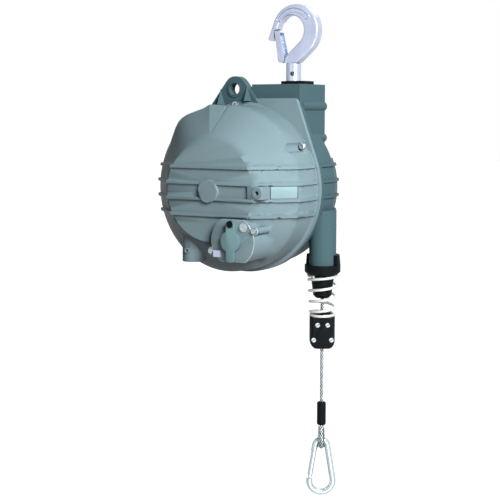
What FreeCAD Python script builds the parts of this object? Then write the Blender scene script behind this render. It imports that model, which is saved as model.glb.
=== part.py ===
"""Spring tool balancer: a hook-hung casing whose sprung drum carries a wire rope.

Millimetres, +Z up.  The origin is the bearing point in the bowl of the suspension
hook, and the swivel turns about the Z axis.  The drum axis runs along Y, and the
front cover faces -Y.  Casing pieces are drawn about the drum axis, with Y = 0 at
the parting plane between the cover and the rear casing.
"""
import FreeCAD, Part
import math
import os
import re

import Sketcher

SIZES = {
    # where the drum axis and the parting plane lie from the hook's bearing point
    "drum_x": -61.5, "part_y": -40, "drum_z": -269,
    "wall": 4, "fit": 0.05, "gap": 0.3,
    # front cover
    "flange_radius": 135, "flange_thick": 8, "cover_radius": 130, "shoulder_radius": 128.8,
    "shoulder_depth": 58.6, "face_radius": 77.4, "face_depth": 109, "shoulder_round": 5,
    "rib_pitch": 24.3, "rib_height": 4.8, "rib_rise": 3.2,
    "hub_radius": 17.5, "hub_rise": 4.5, "pad_start": 70, "pad_reach": 96, "pad_height": 19,
    "pad_hole": 3.4, "pad_hole_x": 87, "pad_ring": 8.2, "bead": 1.4, "parting": 0.4,
    "web_top": 140, "web_angle": 20, "web_round": 7,
    "channel_radius": 6.5, "channel_x": 102.5, "channel_z": 66.9, "tapping_boss": 6,
    "screw_hole": 3.1, "screw_head": 4.8, "screw_head_rise": 6, "screw_socket": 2.4,
    "flank_boss_angle": 131, "flank_boss_radius": 11, "flank_boss_offset": 125,
    "scoop_tip_x": -4, "scoop_tip_z": 85, "scoop_tip_depth": 101.4,
    "scoop_radius": 36, "scoop_run": 75, "scoop_tilt": 22, "scoop_turn": 8,
    "lug_x": -48.5, "lug_depth": 80, "lug_radius": 18, "lug_foot": 113, "plug_radius": 4.5,
    # safety ear
    "ear_x": -18, "ear_z": 155, "ear_radius": 20, "ear_slope": 52, "ear_hole": 9.5,
    "ear_thick": 14, "ear_ring": 13, "ear_ring_rise": 1.5,
    "buttress_width": 17, "buttress_height": 24, "buttress_depth": 11,
    "buttress_left": -45, "buttress_right": 5,
    # rear casing
    "rear_radius": 128, "rear_straight": 57, "rear_depth": 83, "rear_end_radius": 119,
    "column_left": 9, "column_right": 95, "column_top": 162, "column_roof": 12,
    "boss_radius_high": 7.5, "boss_high": 128, "boss_radius_low": 7, "boss_low": 78,
    "boss_proud": 4, "corner_depth": 66, "corner_level": 46,
    "tube_x": 116, "tube_y": 40, "tube_radius": 21.5, "tube_bore": 16,
    "tube_top": 34, "tube_end": 124,
    # rope outlet
    "ring_radius": 28.5, "ring_top": 105, "ring_front": 121, "ring_end": 136.5,
    "ring_floor": 5, "nose_top_radius": 19, "nose_radius": 14.5, "nose_end": 174,
    "nose_mouth": 6, "rope_radius": 3,
    "buffer_wire": 2.1, "buffer_top_radius": 22.6, "buffer_radius": 17.4, "buffer_turns": 5.2,
    "buffer_end": 204,
    # rope clamp
    "clamp_width": 40, "clamp_depth": 30, "clamp_length": 50, "clamp_round": 12,
    "clamp_split": 0.4, "spigot_radius": 13.5, "spigot_rise": 7,
    "clamp_screw_high": 12, "clamp_screw_low": 36, "clamp_spread_high": 8,
    "clamp_spread_low": 14, "clamp_screw_radius": 3.6,
    # ferrule, eye and carabiner; rope_turn is how far the rope has turned the fittings
    "rope_turn": 32, "ferrule_radius": 7.2, "ferrule_top": 344, "ferrule_end": 382,
    "eye_radius": 8.7, "thimble_thick": 1.6, "thimble_width": 7,
    "rod_radius": 5, "carabiner_top": 402, "carabiner_end": 499,
    "carabiner_top_bend": 10, "carabiner_end_bend": 19, "gate_top": 425, "gate_end": 471,
    "gate_radius": 4.2, "gate_tongue": 4, "gate_pin": 1.6,
    # suspension hook and swivel
    "bowl_radius": 23.5, "bowl_x": -1.5, "hook_radius": 41, "hook_x": 6, "hook_z": -24,
    "hook_thick": 18, "hook_edge": 3, "neck_radius": 12, "neck_end": -73.4,
    "tip_x": -42, "tip_z": -34, "tip_width": 11, "tip_step": -22,
    "panel_depth": 1.2, "panel_inner": 28.5, "panel_outer": 35.5,
    "pivot_x": -18.5, "pivot_z": -67.2, "pivot_ear": 5.8, "pivot_ear_thick": 6,
    "pivot_pin": 2.2, "latch_width": 16, "latch_sheet": 1.5, "latch_top": -23.3,
    "coupling_radius": 12, "coupling_end": -101.5, "coupling_bore": 8, "coupling_floor": 4.5, "shank_radius": 8,
    "shank_end": -146, "pin_radius": 3.6, "pin_height": -90.5, "pin_turn": 20,
    "bearing_radius": 17, "bearing_height": 11, "nut_height": 11, "nut_flats": 28,
    "plate_width": 40, "plate_depth": 34, "plate_x": 6, "plate_y": 2,
    # drum, spring and shaft
    "drum_front": 20, "drum_rear": 60, "drum_radius": 103, "drum_end_radius": 107,
    "drum_rim": 5, "drum_side": 3, "drum_side_radius": 116, "drum_hub": 23,
    "drum_web": 5, "web_hole": 16, "web_hole_circle": 62, "web_holes": 6, "rope_turns": 5,
    "bearing_seat": 16, "bearing_width": 9, "shaft_radius": 8.5,
    "shaft_front": 104, "shaft_rear": 76, "boss_radius": 22, "boss_height": 14,
    "barrel_radius": 100, "barrel_wall": 2, "barrel_front": 46,
    "arbor_radius": 20, "spring_thick": 1.6, "spring_turns": 9, "spring_width": 48,
    # worm adjuster
    "worm_module": 2.5, "wheel_teeth": 30, "worm_radius": 11, "wheel_width": 14,
    "worm_length": 44, "worm_shaft": 6, "worm_play": 0.7, "sleeve_radius": 13,
    "hex_flats": 8, "bracket_height": 30,
    # drum lock
    "lock_x": 47.5, "lock_z": -73, "lock_radius": 38, "lock_rise": 3.5, "cap_thick": 5,
    "lock_top": -40.5, "lock_foot": -104, "lobe_radius": 6, "lobe_circle": 41.5,
    "lobe_angle": 24, "lock_plate_thick": 7.5, "lock_plate_bulge": 16.3,
    "lock_plate_end": 7, "lock_plate_half": 26, "washer_radius": 6.6, "knob_radius": 5.2, "knob_rise": 1.2,
    "cap_screw_circle": 29, "cap_screw_angle": 48, "lock_pin": 4, "lock_rest": 52,
    "key_angle": 218, "key_circle": 32, "key_wide": 12, "key_high": 10, "key_thick": 5,
}

DOC = FreeCAD.newDocument("ToolBalancer")
SHEET = DOC.addObject("Spreadsheet::Sheet", "Sizes")
for row, (alias, amount) in enumerate(SIZES.items(), start=1):
    SHEET.set("A%d" % row, alias)
    SHEET.set("B%d" % row, str(amount))
    SHEET.setAlias("B%d" % row, alias)
PROBE = DOC.addObject("App::FeaturePython", "Probe")
PROBE.addProperty("App::PropertyFloat", "Answer")
DOC.recompute()

NODES = []
PLACES = {}
X, Y, Z = (FreeCAD.Vector(*axis) for axis in ((1, 0, 0), (0, 1, 0), (0, 0, 1)))


# ---- binding sizes -------------------------------------------------------------

def formula(text):
    """Point each spreadsheet name in an expression at its cell."""
    return re.sub(r"[A-Za-z_]\w*", lambda m: "Sizes." + m[0] if m[0] in SIZES else m[0], str(text))


def number(text):
    """The present value of an expression of spreadsheet names."""
    PROBE.setExpression("Answer", formula(text))
    PROBE.recompute()
    return PROBE.Answer


def bind(item, **properties):
    """Bind each named property of an object to an expression."""
    for name, text in properties.items():
        item.setExpression(name, formula(text))
    return item


def place(item, x="0", y="0", z="0", turn=None):
    """Move an object on from where it was placed before, and turn it about the Z axis."""
    before = PLACES.get(item.Name, ("0", "0", "0"))
    after = tuple("%s + (%s)" % pair for pair in zip(before, (x, y, z)))
    PLACES[item.Name] = after
    for axis, text in zip("xyz", after):
        item.setExpression(".Placement.Base." + axis, formula(text))
    if turn:
        item.Placement.Rotation = FreeCAD.Rotation(Z, number(turn))
        item.setExpression(".Placement.Rotation.Angle", formula(turn))
    return item


def node(item, label):
    """Name a finished sub-part, which is written to a file of that name."""
    item.Label = label
    NODES.append(item)
    return item


# ---- sketches ------------------------------------------------------------------

def new_body(name):
    return DOC.addObject("PartDesign::Body", name)


def new_sketch(body, name, plane, offset="0"):
    """A sketch on one of its body's origin planes, moved along the plane's normal."""
    sketch = body.newObject("Sketcher::SketchObject", name)
    origin_plane = [f for f in body.Origin.OriginFeatures if f.Role == plane + "_Plane"][0]
    sketch.AttachmentSupport = [(origin_plane, "")]
    sketch.MapMode = "FlatFace"
    sketch.setExpression(".AttachmentOffset.Base.z", formula(offset))
    return sketch


def pin_point(sketch, edge, end, x, y):
    """Hold one end of an edge at a place given by two expressions."""
    for kind, text in (("DistanceX", x), ("DistanceY", y)):
        value = number(text)
        index = sketch.addConstraint(Sketcher.Constraint(kind, -1, 1, edge, end, value))
        sketch.setExpression("Constraints[%d]" % index, formula(text))


def outline(sketch, corners):
    """Draw a closed outline.  A corner is (x, y), reached by a line, or (x, y, radius),
    reached by a short arc: a positive radius turns left, a negative one turns right."""
    places = [FreeCAD.Vector(number(c[0]), number(c[1]), 0) for c in corners]
    for index, corner in enumerate(corners):
        start, end = places[index - 1], places[index]
        if len(corner) == 2:
            edge = sketch.addGeometry(Part.LineSegment(start, end), False)
            first, last = 1, 2
        else:
            radius = number(corner[2])
            chord = end - start
            reach = math.sqrt(max(radius * radius - chord.Length ** 2 / 4, 0))
            side = FreeCAD.Vector(-chord.y, chord.x, 0) / chord.Length
            centre = (start + end) / 2 + side * math.copysign(reach, radius)
            first, last = (1, 2) if radius > 0 else (2, 1)
            ends = (start, end) if radius > 0 else (end, start)
            angles = [math.atan2(p.y - centre.y, p.x - centre.x) for p in ends]
            circle = Part.Circle(centre, Z, abs(radius))
            edge = sketch.addGeometry(Part.ArcOfCircle(circle, *angles), False)
            limit = sketch.addConstraint(Sketcher.Constraint("Radius", edge, abs(radius)))
            sketch.setExpression("Constraints[%d]" % limit, formula("abs(%s)" % corner[2]))
        if index:
            sketch.addConstraint(Sketcher.Constraint("Coincident", previous, tail, edge, first))
        else:
            opening = (edge, first)
        previous, tail = edge, last
        pin_point(sketch, edge, last, corner[0], corner[1])
    sketch.addConstraint(Sketcher.Constraint("Coincident", previous, tail, *opening))
    return sketch


def ring(sketch, x, y, radius):
    """Draw a circle."""
    centre = FreeCAD.Vector(number(x), number(y), 0)
    edge = sketch.addGeometry(Part.Circle(centre, Z, number(radius)), False)
    pin_point(sketch, edge, 3, x, y)
    index = sketch.addConstraint(Sketcher.Constraint("Radius", edge, number(radius)))
    sketch.setExpression("Constraints[%d]" % index, formula(radius))
    return sketch


# ---- features ------------------------------------------------------------------

def feature(body, kind, sketch, **sizes):
    """Add a PartDesign feature made from a sketch, and make it the body's tip."""
    item = body.newObject("PartDesign::" + kind, kind)
    item.Profile = sketch
    bind(item, **sizes)
    return item


def pad(body, sketch, length, both_ways=False, backward=False):
    item = feature(body, "Pad", sketch, Length=length)
    item.Midplane = both_ways
    item.Reversed = backward
    return item


def pocket(body, sketch, length, both_ways=False, backward=False):
    item = feature(body, "Pocket", sketch, Length=length)
    item.Midplane = both_ways
    item.Reversed = backward
    return item


def turn(body, sketch, axis, kind="Revolution"):
    """Revolve a profile about the sketch's own H or V axis."""
    item = feature(body, kind, sketch)
    item.ReferenceAxis = (sketch, [axis + "_Axis"])
    item.Angle = 360
    return item


def turned(name, corners, axis="H", plane="YZ"):
    """A body made by one revolution: about Y from (depth, radius) corners by default."""
    body = new_body(name)
    turn(body, outline(new_sketch(body, name + "Profile", plane), corners), axis)
    return body


def upright(name, corners):
    """A body turned about its own Z axis from (radius, height) corners."""
    return turned(name, corners, "V", "XZ")


def plate(name, corners, length, offset="0", both_ways=False, backward=False):
    """A body padded forward (-Y) from an outline in the XZ plane."""
    body = new_body(name)
    sketch = outline(new_sketch(body, name + "Outline", "XZ", offset), corners)
    pad(body, sketch, length, both_ways, backward)
    return body


def edges_where(item, test):
    """The names of an item's edges that pass a test."""
    DOC.recompute()
    return ["Edge%d" % i for i, edge in enumerate(item.Shape.Edges, start=1) if test(edge)]


def dress(body, kind, base, test, **size):
    """Fillet or chamfer the edges of a feature that pass a test."""
    names = edges_where(base, test)
    item = body.newObject("PartDesign::" + kind, kind)
    item.Base = (base, names)
    bind(item, **size)
    return item


# ---- solids and booleans -------------------------------------------------------

ALONG = {"Z": FreeCAD.Rotation(), "-Y": FreeCAD.Rotation(X, 90), "Y": FreeCAD.Rotation(X, -90),
         "X": FreeCAD.Rotation(Y, 90)}


def rod(name, radius, length, x="0", y="0", z="0", along="Z"):
    item = bind(DOC.addObject("Part::Cylinder", name), Radius=radius, Height=length)
    item.Placement.Rotation = ALONG[along]
    return place(item, x, y, z)


def block(name, low, high):
    """A box between two corners."""
    item = DOC.addObject("Part::Box", name)
    sides = ["(%s) - (%s)" % (top, base) for base, top in zip(low, high)]
    bind(item, Length=sides[0], Width=sides[1], Height=sides[2])
    return place(item, *low)


def fuse(name, items):
    item = DOC.addObject("Part::MultiFuse", name)
    item.Shapes = items
    return item


def cut(name, base, tool):
    item = DOC.addObject("Part::Cut", name)
    item.Base, item.Tool = base, tool
    return item


def common(name, base, tool):
    item = DOC.addObject("Part::Common", name)
    item.Base, item.Tool = base, tool
    return item


def made(name, shape):
    """A piece that Part's own functions shape from the sheet's values."""
    item = DOC.addObject("Part::Feature", name)
    item.Shape = shape
    return item


def in_casing(item, label):
    """Finish a piece drawn about the drum axis."""
    return node(place(item, "drum_x", "part_y", "drum_z"), label)


ROPE_PLACE = ("drum_x + tube_x", "part_y + tube_y", "drum_z")


def on_rope(item, label, turned_by=None):
    """Finish a piece drawn about the rope's hanging line."""
    return node(place(item, *ROPE_PLACE, turn=turned_by), label)


# ---- outlines shared by mating pieces ------------------------------------------

COVER_OUTSIDE = [("-face_depth", "0"), ("-face_depth", "face_radius"),
                 ("-shoulder_depth", "shoulder_radius"), ("0", "cover_radius"), ("0", "0")]
COVER_INSIDE = [("-face_depth + wall", "0"), ("-face_depth + wall", "face_radius - wall / 2"),
                ("-shoulder_depth + wall / 2", "shoulder_radius - wall"),
                ("wall", "cover_radius - wall"), ("wall", "0")]
COVER_RIB = [("-face_depth - rib_rise", "0"), ("-face_depth - rib_rise", "face_radius + rib_rise / 2"),
             ("-shoulder_depth - rib_rise / 2", "shoulder_radius + rib_rise"),
             ("-flange_thick / 2", "cover_radius + rib_rise"), ("-flange_thick / 2", "0")]
CASING_OUTSIDE = [("0", "0"), ("0", "rear_radius"), ("rear_straight", "rear_radius"),
                  ("rear_depth", "rear_end_radius"), ("rear_depth", "0")]
CASING_INSIDE = [("-wall", "0"), ("-wall", "rear_radius - wall"),
                 ("rear_straight", "rear_radius - wall"),
                 ("rear_depth - wall", "rear_end_radius - wall"), ("rear_depth - wall", "0")]
CASING_RIB = [("flange_thick / 2", "0"), ("flange_thick / 2", "rear_radius + rib_rise"),
              ("rear_straight", "rear_radius + rib_rise"),
              ("rear_depth + rib_rise", "rear_end_radius + rib_rise / 2"),
              ("rear_depth + rib_rise", "0")]
WEB_CORNER = "(flange_radius - web_top * sin(web_angle)) / cos(web_angle)"
EAR_SIDE = "(ear_x + ear_radius / sin(ear_slope) + (ear_z - (%s)) / tan(ear_slope))"


def web_outline(clear):
    """The corner of the flange under the column, starting a clearance off the ear."""
    beside = EAR_SIDE % "web_top" + " + " + clear
    inside = EAR_SIDE % "web_top - 30" + " + " + clear
    return [(beside, "web_top"), (inside, "web_top - 30"), ("0", "0"),
            ("flange_radius * cos(web_angle)", "flange_radius * sin(web_angle)"),
            (WEB_CORNER + " + web_round * sin(web_angle)", "web_top - web_round * cos(web_angle)"),
            (WEB_CORNER + " - web_round", "web_top", "web_round * 1.1")]


def flange(name, backward):
    """The round flange with its corner web, from the parting plane outward."""
    disc = new_body(name + "Disc")
    start, thick = "-parting / 2" if backward else "parting / 2", "flange_thick - parting / 2"
    pad(disc, ring(new_sketch(disc, name + "Round", "XZ", start), "0", "0", "flange_radius"),
        thick, backward=backward)
    corner = plate(name + "Web", web_outline("gap"), thick, start, backward=backward)
    return [disc, corner]


def ribs(name, profile):
    """Four level ribs: slices of a slightly larger casing."""
    slices = []
    for place_in_row in (-1.5, -0.5, 0.5, 1.5):
        height = "%s * rib_pitch" % place_in_row
        slices.append(block(name + "Slice", ("-2 * flange_radius", "-2 * face_depth",
                                             height + " - rib_height / 2"),
                            ("2 * flange_radius", "2 * face_depth", height + " + rib_height / 2")))
    return common(name, turned(name + "Envelope", profile), fuse(name + "Slices", slices))


# ---- front cover ---------------------------------------------------------------

def cover_scoop(name, margin):
    """The tapered scoop under the ear: a cone whose point lies on the dome."""
    item = bind(DOC.addObject("Part::Cone", name), Radius2="scoop_radius + " + margin,
                Height="scoop_run", Radius1=margin)
    item.Placement.Rotation = (FreeCAD.Rotation(Y, number("-scoop_turn"))
                               * FreeCAD.Rotation(X, number("-scoop_tilt")))
    return place(item, "scoop_tip_x", "-scoop_tip_depth", "scoop_tip_z")


def front_cover():
    dome = turned("Dome", COVER_OUTSIDE)
    flank = ("flank_boss_offset * cos(flank_boss_angle)", "-shoulder_depth + 6",
             "flank_boss_offset * sin(flank_boss_angle)")
    seat_round = rod("LockSeatRound", "lock_radius - 1", "face_depth - shoulder_depth + lock_rise",
                     "lock_x", "-shoulder_depth", "lock_z", "-Y")
    seat_band = block("LockSeatBand", ("0", "-2 * face_depth", "lock_foot + 1"),
                      ("2 * face_radius", "0", "lock_top"))
    outside = fuse("CoverOutside", [
        dome, *flange("CoverFlange", False), ribs("CoverRibs", COVER_RIB),
        rod("Hub", "hub_radius", "hub_rise + wall", y="-face_depth + wall", along="-Y"),
        block("PadBlock", ("pad_start", "-face_depth - rib_rise", "-pad_height / 2"),
              ("pad_reach", "-face_depth + pad_reach - pad_start", "pad_height / 2")),
        rod("PadRing", "pad_ring", "rib_rise + 1", "pad_hole_x", "-face_depth", along="-Y"),
        turned("Bead", [("-flange_thick - bead", "cover_radius - bead"),
                        ("-flange_thick - bead", "cover_radius + bead"),
                        ("-flange_thick", "cover_radius + 2 * bead"),
                        ("-flange_thick", "cover_radius - bead")]),
        rod("FlankBoss", "flank_boss_radius", "shoulder_depth - 6", *flank, "Y"),
        rod("Lug", "lug_radius", "lug_foot", "lug_x", "-lug_depth", "-lug_foot"),
        common("LockSeat", seat_round, seat_band), *lobes("SeatLobe", "lobe_radius - 0.6",
                                                         "face_depth - lug_depth + lock_rise",
                                                         "-lug_depth")])
    shell = cut("CoverShell", outside, turned("CoverHollow", COVER_INSIDE))
    sleeves = common("CoverSleeves", dome, fuse("SleeveStock", [
        rod("ChannelSleeve", "channel_radius + wall", "face_depth", "channel_x", "0",
            "channel_z", "-Y"),
        rod("FlankSleeve", "flank_boss_radius", "face_depth", flank[0], "0", flank[2], "-Y"),
        cover_scoop("ScoopSleeve", "wall")]))
    body = fuse("CoverBody", [shell, sleeves,
                rod("BearingBoss", "boss_radius", "boss_height", y="-face_depth + wall / 2",
                    along="Y"),
                rod("LugSleeve", "sleeve_radius", "24", "lug_x", "-lug_depth", "-lug_foot")])
    holes = [
        rod("Channel", "channel_radius", "face_depth", "channel_x", "-flange_thick",
            "channel_z", "-Y"),
        block("ChannelMouth", ("channel_x", "-face_depth", "channel_z - channel_radius"),
              ("2 * cover_radius", "-flange_thick", "channel_z + channel_radius")),
        cover_scoop("Scoop", "0"),
        rod("PadHole", "pad_hole", "10", "pad_hole_x", "-face_depth - rib_rise - 2", "0", "Y"),
        rod("ShaftSeat", "bearing_seat", "boss_height + 2", y="-face_depth + wall", along="Y"),
        rod("WormBore", "worm_shaft + fit", "lug_foot", "lug_x", "-lug_depth", "-lug_foot - 1"),
        rod("PlugHole", "plug_radius", "4.5", "lug_x", "-lug_depth - lug_radius - 1",
            "-lug_foot + 18", "Y"),
        rod("CapSeatHole", "lock_pin + fit", "70", "lock_x", "-face_depth - lock_rise - 1",
            "lock_z", "Y")]
    for (x, z), seat in zip(screw_places(), SCREW_SEATS):
        holes.append(rod("ScrewHole", "screw_hole", "face_depth", x, "1", z, "-Y"))
        holes.append(rod("ScrewSink", "screw_head + gap", "face_depth", x, seat, z, "-Y"))
    for angle, circle, radius in CAP_SCREWS + LOCK_KEY:
        x, z = lock_place(angle, circle)
        holes.append(rod("CapTapping", radius + " * 0.55 + fit", "lock_rise + 4", x,
                         "-%s - 1" % CAP_BACK, z, "Y"))
    return in_casing(cut("FrontCover", body, fuse("CoverHoles", holes)), "front_cover")


def lock_place(angle, circle):
    """A point about the drum lock's centre, as X and Z."""
    return "lock_x + %s * cos(%s)" % (circle, angle), "lock_z + %s * sin(%s)" % (circle, angle)


def lobes(name, radius, length, start):
    """A pair of round lobes on opposite sides of the drum lock."""
    pair = []
    for angle in ("lobe_angle", "(lobe_angle + 180)"):
        x, z = lock_place(angle, "lobe_circle")
        pair.append(rod(name, radius, length, x, start, z, "-Y"))
    return pair


def screw_places():
    """Where the cover's screws pass through the flange."""
    return [("channel_x", "channel_z"), ("-14.6", "flange_radius - 4.5"),
            ("flank_boss_offset * cos(flank_boss_angle)",
             "flank_boss_offset * sin(flank_boss_angle)")]


SCREW_SEATS = ["-flange_thick", "-flange_thick", "-shoulder_depth + 6"]


def cover_screws():
    """Socket screws with their heads on the flange or the boss in front of it."""
    screws = []
    for (x, z), seat in zip(screw_places(), SCREW_SEATS):
        shank = rod("ScrewShank", "screw_hole - fit", "6 - (%s)" % seat, x, seat, z, "Y")
        head = rod("ScrewHead", "screw_head", "screw_head_rise", x, seat, z, "-Y")
        socket = rod("ScrewSocket", "screw_socket", "screw_head_rise", x,
                     seat + " - screw_head_rise / 2", z, "-Y")
        screws.append(cut("CoverScrew", fuse("ScrewBlank", [shank, head]), socket))
    return in_casing(fuse("CoverScrews", screws), "cover_screws")


# ---- rear casing ---------------------------------------------------------------

def buttress(name, x, foot):
    """A three-sided pyramid that props the ear from the front."""
    body = new_body(name)
    half, front = "buttress_width / 2", "-flange_thick + 1"
    sections = []
    for height, share in ((foot, 1), (foot + " + buttress_height", 0.08)):
        spread = "%s * %s" % (half, share)
        sections.append(outline(new_sketch(body, name + "Section", "XY", height), [
            (x + " - " + spread, front), (x, "%s - buttress_depth * %s" % (front, share)),
            (x + " + " + spread, front)]))
    loft = body.newObject("PartDesign::AdditiveLoft", name + "Loft")
    loft.Profile = sections[0]
    loft.Sections = [sections[1]]
    loft.Ruled = True
    return body


def safety_ear():
    """The cast ear for the safety chain, with its raised rim and buttresses.  It
    stands on the casing's flange and its front face is level with the cover's."""
    foot = "75"
    top = "ear_z + ear_radius * cos(ear_slope)"
    left = "ear_x - ear_radius * sin(ear_slope)"
    right = "ear_x + ear_radius * sin(ear_slope)"
    back = "flange_thick - ear_thick"
    body = plate("Ear", [
        (right, top), (left, top, "ear_radius"),
        (left + " - %s * cos(ear_slope)" % foot, top + " - %s * sin(ear_slope)" % foot),
        ("0", "60"),
        (right + " + %s * cos(ear_slope)" % foot, top + " - %s * sin(ear_slope)" % foot)],
        "ear_thick", back)
    seat = rod("CoverSeat", "flange_radius + gap", "2 * ear_thick", along="-Y")
    rim = rod("EarRim", "ear_ring", "ear_thick + 2 * ear_ring_rise", "ear_x",
              "-(%s) + ear_ring_rise" % back, "ear_z", "-Y")
    left_foot = "sqrt((flange_radius + 1) ^ 2 - (buttress_left + buttress_width / 2) ^ 2)"
    props = [buttress("ButtressLeft", "buttress_left", left_foot),
             buttress("ButtressRight", "buttress_right", "flange_radius + 1")]
    eye = rod("EarEye", "ear_hole", "4 * ear_thick", "ear_x", "2 * ear_thick", "ear_z", "-Y")
    return cut("EarDrilled", fuse("EarFull", [cut("EarTrimmed", body, seat), rim, *props]), eye)


def casing_corner(margin):
    """The corner that is taken off the round housing beside the column."""
    return block("HousingCorner", ("column_right - 1 - " + margin, "corner_depth - " + margin,
                                   "corner_level - " + margin),
                 ("2 * rear_radius", "2 * rear_depth", "column_top"))


def rear_casing():
    housing = turned("Housing", CASING_OUTSIDE)
    column = block("Column", ("column_left", "0", "0"),
                   ("column_right", "rear_depth", "column_top"))
    bosses = [rod("SideBoss", radius, "rear_depth - flange_thick",
                  "column_right + boss_proud - " + radius, "flange_thick", height, "Y")
              for radius, height in (("boss_radius_high", "boss_high"),
                                     ("boss_radius_low", "boss_low"))]
    tube = rod("Tube", "tube_radius", "tube_end - tube_top", "tube_x", "tube_y", "-tube_end")
    outside = fuse("CasingOutside", [cut("HousingCut", housing, casing_corner("0")),
                                     *flange("CasingFlange", True), column, *bosses,
                                     ribs("CasingRibs", CASING_RIB), tube, safety_ear()])
    hollow = fuse("CasingHollow", [
        cut("DrumRoom", turned("DrumSpace", CASING_INSIDE), casing_corner("wall")),
        block("ColumnSpace", ("column_left + wall", "flange_thick", "0"),
              ("column_right - wall", "rear_depth - wall", "column_top - column_roof")),
        rod("TubeBore", "tube_bore", "tube_end - tube_top - wall + 1", "tube_x", "tube_y",
            "-tube_end - 1"),
        rod("RopeSlot", "rope_radius + 1.5", "tube_top + wall + 1", "tube_x", "tube_y",
            "-tube_top - wall - 1")])
    tapping = common("TappingBoss", turned("BossRoom", CASING_OUTSIDE),
                     rod("TappingStock", "tapping_boss", "12", "channel_x", "0", "channel_z", "Y"))
    boss = rod("RearBoss", "boss_radius", "boss_height", y="rear_depth - wall / 2", along="-Y")
    body = fuse("CasingBody", [cut("CasingShell", outside, hollow), boss, tapping])
    holes = [rod("SwivelBore", "shank_radius + fit", "2 * column_roof", "-drum_x", "-part_y",
                 "column_top - column_roof - 5"),
             rod("RearSeat", "shaft_radius + fit", "boss_height - 2", y="shaft_rear + gap",
                 along="-Y")]
    for screw, (x, z) in enumerate(screw_places()):
        holes.append(rod("Tapping%d" % screw, "screw_hole", "7", x, "-1", z, "Y"))
    return in_casing(cut("RearCasing", body, fuse("CasingHoles", holes)), "rear_casing")


def head_plate():
    """The pad under the swivel, which carries the casing's top."""
    body = block("PadBlank", ("plate_x - plate_width / 2", "plate_y - plate_depth / 2",
                              "drum_z + column_top + gap / 3"),
                 ("plate_x + plate_width / 2", "plate_y + plate_depth / 2",
                  "coupling_end - gap"))
    bore = rod("PadBore", "shank_radius + 2 * fit", "2 * column_roof", z="coupling_end - 12")
    return node(cut("HeadPlate", body, bore), "head_plate")


# ---- suspension hook and swivel ------------------------------------------------

def around(angle, radius, x, z):
    """A point on a circle, as a pair of expressions."""
    return "%s + %s * cos(%s)" % (x, radius, angle), "%s + %s * sin(%s)" % (z, radius, angle)


def cross_rod(name, radius, reach):
    """A rod through the swivel axis at the height of the coupling's pin."""
    item = rod(name, radius, "2 * " + reach, reach + " * sin(pin_turn)",
               "-%s * cos(pin_turn)" % reach, "pin_height", "Y")
    item.Placement.Rotation = FreeCAD.Rotation(Z, number("pin_turn")) * ALONG["Y"]
    return item


def suspension_hook():
    """A forged hook whose mouth opens at the left, over a round shank."""
    outer = ("hook_radius", "hook_x", "hook_z")
    bowl = ("bowl_radius", "bowl_x", "-bowl_radius")
    outer_low, outer_top, outer_left = (around(a, *outer) for a in ("-48", "80", "158"))
    root = ("pivot_x + pivot_ear + 3.5", "pivot_z + pivot_ear - 0.5")
    across, down = "(%s - bowl_x)" % root[0], "(%s + bowl_radius)" % root[1]
    leave = "atan2(%s; %s) + acos(bowl_radius / sqrt(%s ^ 2 + %s ^ 2))" % (down, across,
                                                                         across, down)
    bowl_left, bowl_top, bowl_right = (around(a, *bowl) for a in ("171", "90", "(%s)" % leave))
    body = new_body("Hook")
    blank = pad(body, outline(new_sketch(body, "HookOutline", "XZ"), [
        ("neck_radius", "neck_end"), outer_low, (*outer_top, "hook_radius"),
        (*outer_left, "hook_radius"), ("tip_x", "tip_z"),
        ("tip_x + tip_width", "tip_z - 1", "tip_width / 2 + 0.3"),
        ("tip_x + tip_width - 1", "tip_step - 1"), bowl_left,
        (*bowl_top, "-bowl_radius"), (*bowl_right, "-bowl_radius"), root,
        ("-neck_radius", "neck_end")]), "hook_thick", both_ways=True)

    def long_outline_edge(edge):
        room = edge.BoundBox
        return room.YLength < 0.01 and room.ZMin > number("neck_end") + 0.01 \
            and edge.Length > number("hook_thick + neck_radius")
    dress(body, "Fillet", blank, long_outline_edge, Radius="hook_edge")
    panel = [around(a, r, "hook_x - 2", "hook_z") for a, r in (
        ("150", "panel_inner"), ("90", "panel_inner"), ("35", "panel_inner"),
        ("35", "panel_outer"), ("90", "panel_outer"), ("150", "panel_outer"))]
    for side, lift in (("Front", "hook_thick / 2 - panel_depth"),
                       ("Back", "-hook_thick / 2 + panel_depth")):
        sketch = new_sketch(body, "Panel" + side, "XZ", lift)
        outline(sketch, [panel[0], (*panel[1], "-panel_inner"), (*panel[2], "-panel_inner"),
                         panel[3], (*panel[4], "panel_outer"), (*panel[5], "panel_outer")])
        pocket(body, sketch, "2 * panel_depth", backward=(side == "Front"))
    ear = new_sketch(body, "PivotEar", "XZ")
    outline(ear, [("pivot_x", "pivot_z - pivot_ear", "pivot_ear"),
                  ("-neck_radius + 3", "pivot_z - pivot_ear"),
                  ("-neck_radius + 6", "pivot_z + pivot_ear"), ("pivot_x", "pivot_z + pivot_ear"),
                  ("pivot_x - pivot_ear", "pivot_z", "pivot_ear")])
    pad(body, ear, "pivot_ear_thick", both_ways=True)
    pad(body, ring(new_sketch(body, "Shank", "XY", "neck_end + 1"), "0", "0", "coupling_bore - fit"),
        "neck_end + 1 - coupling_end - coupling_floor - gap", backward=True)
    holes = fuse("HookHoles", [
        rod("PivotHole", "pivot_pin", "hook_thick", "pivot_x", "-hook_thick / 2", "pivot_z", "Y"),
        cross_rod("PinHole", "pin_radius", "2 * coupling_radius")])
    return node(cut("SuspensionHook", body, holes), "suspension_hook")


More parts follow.
